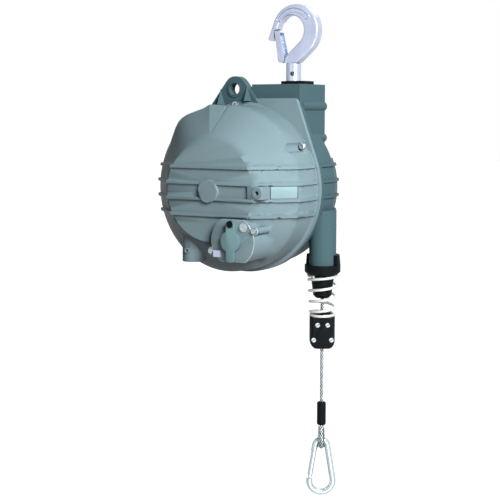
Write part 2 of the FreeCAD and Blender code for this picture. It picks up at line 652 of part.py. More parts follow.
def hook_latch():
    """A pressed channel that closes the hook's mouth and opens inward."""
    top = "latch_top"
    body = new_body("Latch")
    profile = [("pivot_x - pivot_ear", "pivot_z"),
               ("pivot_x", "pivot_z - pivot_ear", "pivot_ear"),
               ("pivot_x + pivot_ear", "pivot_z", "pivot_ear"),
               ("pivot_x - 3.8", top + " - 1"), ("pivot_x - 5", top),
               ("pivot_x - 11", top), ("pivot_x - 11.8", top + " - 2")]
    pad(body, outline(new_sketch(body, "LatchOutline", "XZ"), profile), "latch_width",
        both_ways=True)
    inside = [("pivot_x - pivot_ear - 2", "pivot_z - pivot_ear - 1"),
              ("pivot_x + 2 * pivot_ear", "pivot_z - pivot_ear - 1"),
              ("pivot_x + 2 * pivot_ear", top + " - 3"),
              ("pivot_x - 11.8 + latch_sheet", top + " - 3"),
              ("pivot_x - pivot_ear + latch_sheet", "pivot_z + pivot_ear + 1"),
              ("pivot_x - pivot_ear - 2", "pivot_z + pivot_ear + 1")]
    pocket(body, outline(new_sketch(body, "LatchInside", "XZ"), inside),
           "latch_width - 2 * latch_sheet", both_ways=True)
    hole = rod("LatchHole", "pivot_pin + fit", "2 * latch_width", "pivot_x", "-latch_width",
               "pivot_z", "Y")
    return node(cut("HookLatch", body, hole), "hook_latch")


def latch_pin():
    shank = rod("LatchRivet", "pivot_pin", "latch_width + 2", "pivot_x", "-latch_width / 2 - 1",
                "pivot_z", "Y")
    heads = [rod("RivetHead", "pivot_pin + 1.4", "1.2", "pivot_x", start, "pivot_z", "Y")
             for start in ("-latch_width / 2 - 1.2 - 2 * fit", "latch_width / 2 + 2 * fit")]
    return node(fuse("LatchPin", [shank, *heads]), "latch_pin")


def wire_section(distance, radius, sides):
    """A many-sided section of spring wire, in the XZ plane."""
    steps = [2 * math.pi * side / sides for side in range(sides + 1)]
    return Part.makePolygon([FreeCAD.Vector(distance + radius * math.cos(step), 0,
                                            radius * math.sin(step)) for step in steps])


def latch_spring():
    """Two turns of wire round the rivet, between the hook's ear and the latch's cheek."""
    wire, coil = 0.5, number("pivot_pin") + 0.8
    path = Part.makeHelix(2.1 * wire, 4.2 * wire, coil)
    solid = Part.Wire(path.Edges).makePipeShell([wire_section(coil, wire, 6)], True, True)
    item = made("LatchSpring", solid)
    item.Placement.Rotation = ALONG["Y"]
    return node(place(item, "pivot_x", "pivot_ear_thick / 2 + 0.6", "pivot_z"), "latch_spring")


def coupling():
    """The turned socket that holds the hook's shank, on the swivel's own shank."""
    body = upright("CouplingTurned", [
        ("0", "shank_end"), ("shank_radius - 1", "shank_end"), ("shank_radius", "shank_end + 1"),
        ("shank_radius", "coupling_end"), ("coupling_radius", "coupling_end"),
        ("coupling_radius", "neck_end - gap - 1.5"),
        ("coupling_radius - 1.5", "neck_end - gap"), ("coupling_bore", "neck_end - gap"),
        ("coupling_bore", "coupling_end + coupling_floor"),
        ("0", "coupling_end + coupling_floor")])
    hole = cross_rod("CouplingPinHole", "pin_radius", "2 * coupling_radius")
    return node(cut("Coupling", body, hole), "coupling")


def coupling_pin():
    """A slotted spring pin through the coupling and the hook's shank."""
    pin = cross_rod("PinBlank", "pin_radius", "(coupling_radius - 0.8)")
    bore = cross_rod("PinBore", "pin_radius * 0.6", "coupling_radius")
    return node(cut("CouplingPin", pin, bore), "coupling_pin")


def hexagon(sketch, flats, x="0", y="0"):
    corners = []
    for corner in range(6):
        corners.append(("%s + %s / sqrt(3) * cos(60 * %d)" % (x, flats, corner),
                        "%s + %s / sqrt(3) * sin(60 * %d)" % (y, flats, corner)))
    return outline(sketch, corners)


ROOF = "drum_z + column_top - column_roof"


def thrust_bearing():
    body = upright("Thrust", [
        ("shank_radius + fit", "-bearing_height"), ("bearing_radius", "-bearing_height"),
        ("bearing_radius", "-bearing_height * 2 / 3"), ("bearing_radius - 2", "-bearing_height / 2"),
        ("bearing_radius", "-bearing_height / 3"), ("bearing_radius", "0"),
        ("shank_radius + fit", "0")])
    return node(place(body, z=ROOF + " - gap / 3"), "thrust_bearing")


def swivel_nut():
    body = new_body("Nut")
    sketch = hexagon(new_sketch(body, "NutOutline", "XY"), "nut_flats")
    ring(sketch, "0", "0", "shank_radius + fit / 2")
    pad(body, sketch, "nut_height", backward=True)
    return node(place(body, z=ROOF + " - bearing_height - gap * 2 / 3"), "swivel_nut")


# ---- drum, spring and shaft ----------------------------------------------------

def drum():
    """A slightly tapered drum with rimmed sides and a drilled web."""
    body = new_body("Drum")
    middle = "(drum_front + drum_rear) / 2"
    inside = "drum_radius - drum_rim"
    turn(body, outline(new_sketch(body, "DrumProfile", "YZ"), [
        ("drum_front", "bearing_seat"), ("drum_rear", "bearing_seat"), ("drum_rear", "drum_hub"),
        (middle + " + drum_web / 2", "drum_hub"), (middle + " + drum_web / 2", inside),
        ("drum_rear", inside), ("drum_rear", "drum_side_radius"),
        ("drum_rear - drum_side", "drum_side_radius"),
        ("drum_rear - drum_side", "drum_end_radius"), ("drum_front + drum_side", "drum_radius"),
        ("drum_front + drum_side", "drum_side_radius"), ("drum_front", "drum_side_radius"),
        ("drum_front", inside), (middle + " - drum_web / 2", inside),
        (middle + " - drum_web / 2", "drum_hub"), ("drum_front", "drum_hub")]), "H")
    DOC.recompute()
    sketch = ring(new_sketch(body, "WebHole", "XZ"), "web_hole_circle", "0", "web_hole")
    hole = pocket(body, sketch, "4 * drum_rear", both_ways=True)
    pattern = body.newObject("PartDesign::PolarPattern", "WebHoles")
    pattern.Originals = [hole]
    pattern.Axis = (sketch, ["N_Axis"])
    pattern.Angle = 360
    bind(pattern, Occurrences="web_holes")
    body.Tip = pattern
    return in_casing(body, "drum")


def rope_winding():
    """The wound rope, as one ring with a ridge for each turn."""
    start = "drum_front + drum_side + 0.5"
    slope = "(drum_end_radius - drum_radius) / (drum_rear - drum_front - 2 * drum_side)"
    corners = [(start, "drum_radius + 0.5 * " + slope),
               (start, "drum_radius + rope_radius")]
    for coil in range(int(number("rope_turns"))):
        for share, rise in ((0.3, 2), (0.7, 2), (1, 1)):
            depth = "2 * rope_radius * %s" % (coil + share)
            corners.append(("%s + %s" % (start, depth),
                            "drum_radius + %d * rope_radius + %s * %s" % (rise, slope, depth)))
    corners.append((corners[-1][0], "drum_radius + %s * (%s + 0.5)" % (slope, depth)))
    return in_casing(turned("RopeWinding", corners), "rope_winding")


def bearing_ring(start):
    """A ball bearing with its side recess, running on the shaft."""
    return turned("Bearing", [
        (start, "shaft_radius + fit"), (start, "bearing_seat - 5"), (start + " + 0.8", "bearing_seat - 4.8"),
        (start + " + 0.8", "bearing_seat - 2.4"), (start, "bearing_seat - 2.2"),
        (start, "bearing_seat"), (start + " + bearing_width", "bearing_seat"),
        (start + " + bearing_width", "shaft_radius + fit")])


def main_shaft():
    """The shaft the drum runs on, with the arbor that holds the spring's inner end."""
    arbor = "arbor_radius"
    body = turned("Shaft", [
        ("-shaft_front", "0"), ("-shaft_front", "shaft_radius - 1"),
        ("-shaft_front + 1", "shaft_radius"), ("-barrel_front + barrel_wall + gap", "shaft_radius"),
        ("-barrel_front + barrel_wall + gap", arbor), ("drum_front - 8", arbor),
        ("drum_front - 8", "shaft_radius + 3"), ("drum_front - gap", "shaft_radius + 3"),
        ("drum_front - gap", "shaft_radius"), ("shaft_rear - 1", "shaft_radius"),
        ("shaft_rear", "shaft_radius - 1"), ("shaft_rear", "0")])
    return in_casing(body, "main_shaft")


def spring_barrel():
    """The pressed cup round the spring, closed at the back by the drum."""
    body = new_body("Barrel")
    inner = "barrel_radius - barrel_wall"
    turn(body, outline(new_sketch(body, "BarrelProfile", "YZ"), [
        ("-barrel_front", "drum_hub"), ("-barrel_front", "barrel_radius"),
        ("drum_front", "barrel_radius"), ("drum_front", inner),
        ("-barrel_front + barrel_wall", inner), ("-barrel_front + barrel_wall", "drum_hub")]), "H")
    DOC.recompute()
    sketch = ring(new_sketch(body, "LockHole", "XZ"), "lock_x", "lock_z", "lock_pin + 1")
    hole = pocket(body, sketch, "barrel_front + 5", backward=True)
    pattern = body.newObject("PartDesign::PolarPattern", "LockHoles")
    pattern.Originals = [hole]
    pattern.Axis = (sketch, ["N_Axis"])
    pattern.Angle = 360
    pattern.Occurrences = 8
    body.Tip = pattern
    return in_casing(body, "spring_barrel")


def power_spring():
    """A flat spiral band, drawn as half turns about two centres in turn."""
    turns = int(number("spring_turns"))
    inner, outer = number("arbor_radius") + 1.2, number("barrel_radius - barrel_wall") - 1.6
    half = number("spring_thick") / 2
    step = (outer - inner) / (2 * turns)

    def half_turns(offset):
        """One edge of the band: semicircles that grow by a step each."""
        arcs, radius, centre = [], inner, 0.0
        for index in range(2 * turns):
            side = 1 if index % 2 == 0 else -1
            reach = radius + offset
            arcs.append(Part.Arc(FreeCAD.Vector(centre + side * reach, 0, 0),
                                 FreeCAD.Vector(centre, side * reach, 0),
                                 FreeCAD.Vector(centre - side * reach, 0, 0)))
            radius += step
            centre += side * step
        return arcs
    near, far = half_turns(-half), half_turns(half)
    ends = [Part.LineSegment(near[0].StartPoint, far[0].StartPoint),
            Part.LineSegment(near[-1].EndPoint, far[-1].EndPoint)]
    band = Part.Wire(Part.__sortEdges__([c.toShape() for c in near + far + ends]))
    item = made("PowerSpring", Part.Face(band).extrude(Z * number("spring_width")))
    item.Placement.Rotation = ALONG["Y"]
    return node(place(item, "drum_x", "part_y - barrel_front + barrel_wall + 1", "drum_z"),
                "power_spring")


# ---- worm adjuster -------------------------------------------------------------

def worm_wheel():
    """The wheel keyed to the shaft; its gaps take the worm's thread with play."""
    body = new_body("Wheel")
    back = "lug_depth - wheel_width / 2"
    sketch = ring(new_sketch(body, "WheelDisc", "XZ", back), "0", "0",
                  "worm_module * (wheel_teeth / 2 + 0.8)")
    ring(sketch, "0", "0", "shaft_radius")
    blank = pad(body, sketch, "wheel_width")
    DOC.recompute()
    pitch = "worm_module * wheel_teeth / 2"
    root, tip = pitch + " - 1.25 * worm_module", pitch + " + worm_module"
    half = "(pi * worm_module / 4 + worm_play / 2)"
    gap = outline(new_sketch(body, "ToothGap", "XZ", back), [
        ("-(%s)" % root, "%s - 0.4 * worm_module" % half),
        ("-(%s)" % root, "-%s + 0.4 * worm_module" % half),
        ("-(%s)" % tip, "-%s - 0.36 * worm_module" % half),
        ("-(%s)" % tip, "%s + 0.36 * worm_module" % half)])
    tooth_gap = pocket(body, gap, "wheel_width", backward=True)
    pattern = body.newObject("PartDesign::PolarPattern", "Teeth")
    pattern.Originals = [tooth_gap]
    pattern.Axis = (gap, ["N_Axis"])
    pattern.Angle = 360
    bind(pattern, Occurrences="wheel_teeth")
    body.Tip = pattern
    return in_casing(body, "worm_wheel")


def worm():
    """The worm: a trapezoid thread swept round a shaft with a hexagon socket."""
    module, radius = number("worm_module"), number("worm_radius")
    lead, length = math.pi * module, number("worm_length")
    turns = int(length / lead)
    half = lead / 4 - number("worm_play") / 2
    foot, crest = radius - 1.1 * module, radius + 0.85 * module
    profile = [(foot - 0.6, half + 0.4 * module), (crest, half - 0.32 * module),
               (crest, -half + 0.32 * module), (foot - 0.6, -half - 0.4 * module)]
    loop = [FreeCAD.Vector(x, 0, z) for x, z in profile]
    section = Part.makePolygon(loop + loop[:1])
    helix = Part.makeHelix(lead, turns // 2 * 2 * lead, radius)
    thread = Part.Wire(helix.Edges).makePipeShell([section], True, True)
    thread_item = place(made("WormThread", thread), z="-pi * worm_module * %d" % (turns // 2))
    core = rod("WormCore", "worm_radius - 1.1 * worm_module", "worm_length + 6",
               z="-worm_length / 2 - 3")
    shaft = rod("WormShaft", "worm_shaft", "lug_foot + bracket_height + 6", z="-lug_foot + 1")
    socket = new_body("WormSocket")
    pad(socket, hexagon(new_sketch(socket, "SocketOutline", "XY", "-lug_foot"), "hex_flats"), "7")
    whole = fuse("WormWhole", [thread_item, core, shaft])
    item = cut("Worm", whole, socket)
    return node(place(item, "drum_x + lug_x", "part_y - lug_depth", "drum_z"), "worm")


def worm_bracket():
    """The inner bearing that holds the worm's upper end off the cover's face."""
    stock = block("BracketStock", ("lug_x - worm_shaft - 6", "-face_depth + wall", "bracket_height"),
                  ("lug_x + worm_shaft + 6", "-lug_depth + worm_shaft + 5", "bracket_height + 8"))
    bore = rod("BracketBore", "worm_shaft + fit", "30", "lug_x", "-lug_depth", "bracket_height - 5")
    room = turned("BracketRoom", [
        ("-face_depth + wall", "0"), ("-face_depth + wall", "face_radius - wall / 2 - 2 * gap"),
        ("-shoulder_depth + wall / 2", "shoulder_radius - wall - 2 * gap"), ("0", "0")])
    return in_casing(cut("WormBracket", common("BracketTrimmed", stock, room), bore),
                     "worm_bracket")


def lug_plug():
    """The grub screw that closes the lug's oil hole."""
    body = new_body("Plug")
    sketch = ring(new_sketch(body, "PlugRound", "XZ"), "0", "0", "plug_radius - fit")
    pad(body, sketch, "5")
    DOC.recompute()
    pocket(body, hexagon(new_sketch(body, "PlugSocket", "XZ", "5"), "plug_radius"), "2.5")
    return node(place(body, "drum_x + lug_x", "part_y - lug_depth - lug_radius + 3.2",
                      "drum_z - lug_foot + 18"), "lug_plug")


# ---- drum lock -----------------------------------------------------------------

CAP_BACK = "(face_depth + lock_rise)"


def socket_screw(name, x, z, seat, radius, rise):
    """A socket screw whose head stands forward of its seat."""
    head = rod(name + "Head", radius, rise, x, "-(%s)" % seat, z, "-Y")
    shank = rod(name + "Shank", radius + " * 0.55", "8", x, "-(%s)" % seat, z, "Y")
    body = new_body(name + "Socket")
    sketch = hexagon(new_sketch(body, name + "Hexagon", "XZ", "%s + %s / 2" % (seat, rise)),
                     "(%s)" % radius, x, z)
    pad(body, sketch, rise)
    return cut(name, fuse(name + "Blank", [head, shank]), body)


def lock_cap():
    """The cap of the drum lock: a disc with its top and foot cut level, and two lobes."""
    disc = common("CapDisc", rod("CapRound", "lock_radius", "cap_thick", "lock_x",
                                 "-" + CAP_BACK, "lock_z", "-Y"),
                  block("CapBand", ("-2 * face_radius", "-2 * face_depth", "lock_foot"),
                        ("2 * face_radius", "0", "lock_top")))
    stock = fuse("CapStock", [disc, *lobes("CapLobe", "lobe_radius", "cap_thick", "-" + CAP_BACK)])
    holes = [rod("CapBore", "lock_pin + fit", "2 * cap_thick", "lock_x",
                 "-%s + 1" % CAP_BACK, "lock_z", "-Y")]
    for index, (angle, circle, radius) in enumerate(CAP_SCREWS + LOCK_KEY):
        x, z = lock_place(angle, circle)
        holes.append(rod("CapHole%d" % index, radius + " * 0.55 + fit", "2 * cap_thick", x,
                         "-%s + 1" % CAP_BACK, z, "-Y"))
    return in_casing(cut("LockCap", stock, fuse("CapHoles", holes)), "lock_cap")


CAP_SCREWS = [("lobe_angle", "lobe_circle", "3.8"),
              ("(lobe_angle + 180)", "lobe_circle", "3.8"),
              ("cap_screw_angle", "cap_screw_circle", "4.6")]
LOCK_KEY = [("key_angle", "key_circle", "5")]


def cap_screws():
    screws = []
    for index, (angle, circle, radius) in enumerate(CAP_SCREWS):
        x, z = lock_place(angle, circle)
        screws.append(socket_screw("CapScrew%d" % index, x, z, CAP_BACK + " + cap_thick",
                                   radius, "3"))
    x, z = lock_place("cap_screw_angle", "cap_screw_circle")
    washer = rod("CapWasher", "washer_radius", "1", x, "-%s - cap_thick" % CAP_BACK, z, "-Y")
    return in_casing(fuse("CapScrews", [*screws, washer]), "cap_screws")


def lock_plate():
    """The flange over the lock pin: a round middle with a round lobe at each end."""
    wide, narrow, half = "lock_plate_bulge", "lock_plate_end", "lock_plate_half"
    waist, end = "sqrt(%s ^ 2 - %s ^ 2)" % (wide, narrow), narrow + " * 1.05"
    corners = [(narrow, "-" + waist), (narrow, waist, wide), (narrow, half),
               ("-" + narrow, half, end), ("-" + narrow, waist),
               ("-" + narrow, "-" + waist, wide), ("-" + narrow, "-" + half),
               (narrow, "-" + half, end)]
    body = plate("RhombicPlate", [("lock_x + " + x, "lock_z + " + z, *arc)
                                  for x, z, *arc in corners],
                 "lock_plate_thick", CAP_BACK + " + cap_thick + gap / 10")
    knob_seat = rod("KnobSeat", "knob_radius + fit", "4 * cap_thick", "lock_x",
                    "-%s - cap_thick - 2" % CAP_BACK, "lock_z + lock_plate_half", "-Y")
    room = rod("PinRoom", "lock_pin + fit", "lock_plate_thick - 2", "lock_x",
               "-%s - cap_thick" % CAP_BACK, "lock_z", "-Y")
    return in_casing(cut("LockPlate", body, fuse("PlateHoles", [knob_seat, room])), "lock_plate")


def lock_knob():
    """The black button in the upper end of the rhombic plate."""
    return in_casing(rod("Knob", "knob_radius", "lock_plate_thick - 2 + knob_rise", "lock_x",
                         "-%s - cap_thick - 2 - gap" % CAP_BACK, "lock_z + lock_plate_half", "-Y"),
                     "lock_knob")


def lock_key():
    """The square head that is turned by a quarter to send the lock pin in."""
    x, z = lock_place(*LOCK_KEY[0][:2])
    start = "-%s - cap_thick - gap" % CAP_BACK
    head = block("KeyHead", (x + " - key_wide / 2", start + " - key_thick", z + " - key_high / 2"),
                 (x + " + key_wide / 2", start, z + " + key_high / 2"))
    stem = rod("KeyStem", LOCK_KEY[0][2] + " * 0.55", "cap_thick + lock_rise + 2", x, start, z, "Y")
    return in_casing(fuse("LockKey", [head, stem]), "lock_key")


def lock_pin():
    """The pin that enters a hole of the spring barrel when the key is turned."""
    return in_casing(rod("LockPin", "lock_pin", CAP_BACK + " + cap_thick - lock_rest - 1", "lock_x",
                         "-lock_rest", "lock_z", "-Y"), "lock_pin")


# ---- rope outlet ---------------------------------------------------------------

def outlet_ring():
    """The clamp ring round the tube's end, lower at the front than at its sides."""
    body = upright("RingTurned", [
        ("nose_top_radius + gap", "-ring_end"), ("ring_radius - 4.5", "-ring_end"),
        ("ring_radius", "-ring_end + 4.5"), ("ring_radius", "-ring_front"),
        ("ring_radius - 1.5", "-ring_top"), ("tube_radius + fit", "-ring_top"),
        ("tube_radius + fit", "-tube_end - ring_floor + gap"),
        ("nose_top_radius + gap", "-tube_end - ring_floor + gap")])
    front = block("RingFront", ("-2 * ring_radius", "-2 * ring_radius", "-ring_front"),
                  ("2 * ring_radius", "-ring_radius / 8", "0"))
    return on_rope(cut("OutletRing", body, front), "outlet_ring")


def rope_guide():
    """The tapered nose that leads the rope out, held between the tube and the ring."""
    bore = "rope_radius + gap"
    body = upright("Guide", [
        (bore, "-ring_top - 3"), ("tube_bore - gap", "-ring_top - 3"),
        ("tube_bore - gap", "-tube_end - gap"), ("tube_radius - gap", "-tube_end - gap"),
        ("tube_radius - gap", "-tube_end - ring_floor + 2 * gap"),
        ("nose_top_radius", "-tube_end - ring_floor + 2 * gap"),
        ("nose_top_radius", "-ring_end - 1"), ("nose_radius", "-nose_end + 4"),
        ("nose_radius - 4", "-nose_end"), ("nose_mouth", "-nose_end"), (bore, "-nose_end + 8")])
    return on_rope(body, "rope_guide")


def buffer_spring():
    """The tapered compression spring that softens the rope's stop."""
    wire = number("buffer_wire")
    top, end = number("ring_end") + 1.05 * wire, number("buffer_end") - 1.05 * wire
    low, high = number("buffer_radius"), number("buffer_top_radius")
    height = end - top
    slope = math.degrees(math.atan2(high - low, height))
    helix = Part.makeHelix(height / number("buffer_turns"), height, low, slope)
    solid = Part.Wire(helix.Edges).makePipeShell([wire_section(low, wire, 8)], True, True)
    spring = place(made("BufferSpring", solid), z="-buffer_end + 1.05 * buffer_wire")
    return on_rope(spring, "buffer_spring")


# ---- rope end: clamp, ferrule, eye and carabiner -------------------------------

CLAMP_TOP = "(buffer_end + gap)"


def clamp_blank():
    """Both halves of the rope clamp in one: a block with round lower corners."""
    half, foot = "clamp_width / 2", "-%s - clamp_length" % CLAMP_TOP
    body = plate("ClampBlock", [
        ("-" + half, "-" + CLAMP_TOP), ("-" + half, foot + " + clamp_round"),
        ("-%s + clamp_round" % half, foot, "clamp_round"), (half + " - clamp_round", foot),
        (half, foot + " + clamp_round", "clamp_round"), (half, "-" + CLAMP_TOP)],
        "clamp_depth", both_ways=True)
    barrel = rod("ClampRound", "clamp_width / 2 + 0.8", "clamp_length + 2", z=foot + " - 1")
    spigot = rod("ClampSpigot", "spigot_radius", "spigot_rise + 4", z="-%s - 4" % CLAMP_TOP)
    return fuse("ClampBlank", [common("ClampBody", body, barrel), spigot])


def clamp_halves():
    blank = clamp_blank()
    screws = []
    for side in ("-1", "1"):
        for drop, spread in (("clamp_screw_high", "clamp_spread_high"),
                             ("clamp_screw_low", "clamp_spread_low")):
            screws.append((side + " * " + spread, "-%s - %s" % (CLAMP_TOP, drop)))
    far = "2 * clamp_width"
    low, high = "-%s - 2 * clamp_length" % CLAMP_TOP, "0"
    rooms = {"front": (("-" + far, "-" + far, low), (far, "-clamp_split / 2", high)),
             "rear": (("-" + far, "clamp_split / 2", low), (far, far, high))}
    for half, corners in rooms.items():
        holes = [rod("ClampBore", "rope_radius + fit", "4 * clamp_length",
                     z="-%s - 2 * clamp_length" % CLAMP_TOP)]
        for x, z in screws:
            holes.append(rod("ClampHole", "clamp_screw_radius * 0.55 + fit", "clamp_depth", x,
                             "-clamp_depth / 2 - 1", z, "Y"))
            holes.append(rod("ClampSink", "clamp_screw_radius + gap", "3.5", x,
                             "-clamp_depth / 2 - 1", z, "Y"))
        solid = common("ClampHalf" + half, blank, block("Room" + half, *corners))
        on_rope(cut("Clamp" + half, solid, fuse("ClampHoles" + half, holes)),
                "clamp_" + half, "rope_turn")
    heads = [socket_screw("ClampScrew", x, z, "clamp_depth / 2 - 2.5", "clamp_screw_radius", "3")
             for x, z in screws]
    on_rope(fuse("ClampScrews", heads), "clamp_screws", "rope_turn")


def ropes():
    """The straight stretches of rope: inside the tube, inside the spring, and hanging."""
    on_rope(rod("RopeLead", "rope_radius", "nose_end - 8 - gap", z="-nose_end"), "rope_lead")
    on_rope(rod("RopeShort", "rope_radius", "%s - spigot_rise - nose_end - gap" % CLAMP_TOP,
                z="-%s + spigot_rise" % CLAMP_TOP), "rope_short")
    on_rope(rod("RopeHang", "rope_radius", "ferrule_top - %s + spigot_rise" % CLAMP_TOP,
                z="-ferrule_top"), "rope_hang")


def ferrule():
    body = upright("FerruleTurned", [
        ("0", "-ferrule_end"), ("ferrule_radius - 2.5", "-ferrule_end"),
        ("ferrule_radius", "-ferrule_end + 2.5", "2.5"), ("ferrule_radius", "-ferrule_top - 2.5"),
        ("ferrule_radius - 2.5", "-ferrule_top", "2.5"), ("0", "-ferrule_top")])
    return on_rope(body, "ferrule")


EYE_CENTRE = "(-carabiner_top - rod_radius - carabiner_top_bend - gap + eye_radius" \
    " + sqrt((carabiner_top_bend - rod_radius) ^ 2 - (thimble_width / 2) ^ 2))"
EYE_LEAN = "33"


def drop_outline(sketch, radius):
    """A teardrop: most of a circle, closed by two tangents that meet at the top."""
    side = "%s * cos(%s)" % (radius, EYE_LEAN)
    rise = "%s + %s * sin(%s)" % (EYE_CENTRE, radius, EYE_LEAN)
    return outline(sketch, [
        (side, rise, radius), ("0", "%s + %s / sin(%s)" % (EYE_CENTRE, radius, EYE_LEAN)),
        ("-" + side, rise), ("0", "%s - %s" % (EYE_CENTRE, radius), radius)])


def thimble():
    """The pressed liner inside the rope's eye, edge-on to the carabiner."""
    body = new_body("ThimbleBody")
    sketch = new_sketch(body, "ThimbleOutline", "XZ")
    drop_outline(sketch, "(eye_radius + thimble_thick)")
    drop_outline(sketch, "eye_radius")
    pad(body, sketch, "thimble_width", both_ways=True)
    return on_rope(body, "thimble", "rope_turn + 90")


def rope_eye():
    """The rope's loop: two legs out of the ferrule that run tangent to a round bend."""
    wire = number("rope_radius")
    centre = FreeCAD.Vector(0, 0, number(EYE_CENTRE))
    bend = number("eye_radius + thimble_thick") + wire + 0.1
    start = FreeCAD.Vector(wire + 0.1, 0, -number("ferrule_end"))
    across = start - centre
    lean = math.atan2(across.z, across.x) - math.acos(bend / across.Length)
    touch = centre + FreeCAD.Vector(math.cos(lean), 0, math.sin(lean)) * bend
    mirror = lambda p: FreeCAD.Vector(-p.x, p.y, p.z)
    bottom = centre - Z * bend
    path = Part.Wire([Part.LineSegment(start, touch).toShape(),
                      Part.Arc(touch, bottom, mirror(touch)).toShape(),
                      Part.LineSegment(mirror(touch), mirror(start)).toShape()])
    section = Part.Wire(Part.Circle(start, (touch - start).normalize(), wire).toShape())
    return on_rope(made("RopeEye", path.makePipeShell([section], True, False)), "rope_eye",
                   "rope_turn + 90")


def carabiner_route():
    """The pear's centre line: its two bend centres, radii and the lean of its sides."""
    wire = number("rod_radius")
    top_bend, end_bend = number("carabiner_top_bend"), number("carabiner_end_bend")
    top = FreeCAD.Vector(0, 0, -number("carabiner_top") - wire - top_bend)
    end = FreeCAD.Vector(0, 0, -number("carabiner_end") + wire + end_bend)
    lean = math.asin((end_bend - top_bend) / (top.z - end.z))
    out = FreeCAD.Vector(math.cos(lean), 0, math.sin(lean))
    return top, end, top_bend, end_bend, out


def gate_line():
    """The gate's two ends on the pear's left side, and the direction from foot to top."""
    top, end, top_bend, end_bend, out = carabiner_route()
    left = FreeCAD.Vector(-out.x, 0, out.z)
    upper, lower = top + left * top_bend, end + left * end_bend
    along = (upper - lower).normalize()
    at = lambda height: lower + along * ((height - lower.z) / along.z)
    return at(-number("gate_top")), at(-number("gate_end")), along


def carabiner():
    """A pear-shaped snap hook of round rod, open where its gate closes it."""
    top, end, top_bend, end_bend, out = carabiner_route()
    nose, heel, along = gate_line()
    left = FreeCAD.Vector(-out.x, 0, out.z)
    wire = number("rod_radius")
    path = Part.Wire([
        Part.LineSegment(nose, top + left * top_bend).toShape(),
        Part.Arc(top + left * top_bend, top + Z * top_bend, top + out * top_bend).toShape(),
        Part.LineSegment(top + out * top_bend, end + out * end_bend).toShape(),
        Part.Arc(end + out * end_bend, end - Z * end_bend, end + left * end_bend).toShape(),
        Part.LineSegment(end + left * end_bend, heel).toShape()])
    section = Part.Wire(Part.Circle(nose, along, wire).toShape())
    body = path.makePipeShell([section], True, False)
    reach, thin = 7.0, number("gate_tongue")
    tongue = Part.makeBox(2 * wire - 1.4, thin, reach + 3,
                          FreeCAD.Vector(-wire + 0.7, -thin / 2, -3))
    slot = Part.makeBox(3 * wire, thin + 0.6, 7, FreeCAD.Vector(-wire / 2, -thin / 2 - 0.3, -1))
    tilt = FreeCAD.Rotation(Z, along)
    tongue.Placement = FreeCAD.Placement(heel, tilt) * tongue.Placement
    slot.Placement = FreeCAD.Placement(nose, tilt) * slot.Placement
    hole = Part.makeCylinder(number("gate_pin"), 4 * wire, heel + along * 4 - Y * 2 * wire, Y)
    return on_rope(made("Carabiner", body.fuse(tongue).cut(slot).cut(hole).removeSplitter()),
                   "carabiner", "rope_turn")


def carabiner_gate():
    """The gate: a round bar forked over the pivot, with a tongue in the nose's slot."""
    nose, heel, along = gate_line()
    radius, thin = number("gate_radius"), number("gate_tongue")
    length = (nose - heel).Length
    bar = Part.makeCylinder(radius, length - 2.0, FreeCAD.Vector(0, 0, 1.6))
    fork = Part.makeBox(4 * radius, thin + 0.6, 9.2,
                        FreeCAD.Vector(-2 * radius, -thin / 2 - 0.3, -0.5))
    tongue = Part.makeBox(radius, thin, 4.5, FreeCAD.Vector(-radius / 2, -thin / 2, length - 1))
    hole = Part.makeCylinder(number("gate_pin") + 0.05, 4 * radius,
                             FreeCAD.Vector(0, -2 * radius, 4), Y)
    stand = FreeCAD.Placement(heel, FreeCAD.Rotation(Z, along))
    for solid in (bar, fork, tongue, hole):
        solid.Placement = stand * solid.Placement
    shape = bar.cut(fork).fuse(tongue).cut(hole).removeSplitter()
    return on_rope(made("CarabinerGate", shape), "carabiner_gate", "rope_turn")


def gate_pin():
    heel, along = gate_line()[1:]
    reach = number("gate_radius") - 0.6
    pin = Part.makeCylinder(number("gate_pin"), 2 * reach, heel + along * 4 - Y * reach, Y)
    return on_rope(made("GatePin", pin), "gate_pin", "rope_turn")


# ---- the whole balancer --------------------------------------------------------

for build in (front_cover, cover_screws, rear_casing, head_plate, lug_plug, lock_cap, cap_screws,
              lock_plate, lock_knob, lock_key, lock_pin, worm_bracket, suspension_hook,
              hook_latch, latch_pin, latch_spring, coupling, coupling_pin, thrust_bearing,
              swivel_nut, drum, rope_winding, spring_barrel, power_spring, main_shaft, worm_wheel,
              worm, outlet_ring, rope_guide, buffer_spring, clamp_halves, ropes, ferrule,
              thimble, rope_eye, carabiner, carabiner_gate, gate_pin):
    build()
in_casing(fuse("DrumBearings", [bearing_ring("drum_front"),
                                bearing_ring("drum_rear - bearing_width")]), "drum_bearings")
in_casing(bearing_ring("-shaft_front + 1"), "front_bearing")
DOC.removeObject(PROBE.Name)
DOC.recompute()

for item in DOC.Objects:
    if {"Invalid", "Error"} & set(item.State):
        raise RuntimeError("%s could not be built" % item.Name)
os.makedirs("parts", exist_ok=True)
for item in NODES:
    if item.Shape.isNull() or not item.Shape.isValid():
        raise RuntimeError("%s has no sound solid" % item.Label)
    item.Shape.exportStep("parts/%s.step" % item.Label)
    print("%-18s %9.1f mm3  %d solid(s)" % (item.Label, item.Shape.Volume,
                                            len(item.Shape.Solids)))
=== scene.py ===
"""Spring tool balancer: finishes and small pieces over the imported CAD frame."""
import math

import bmesh
import bpy
from mathutils import Euler, Matrix, Vector


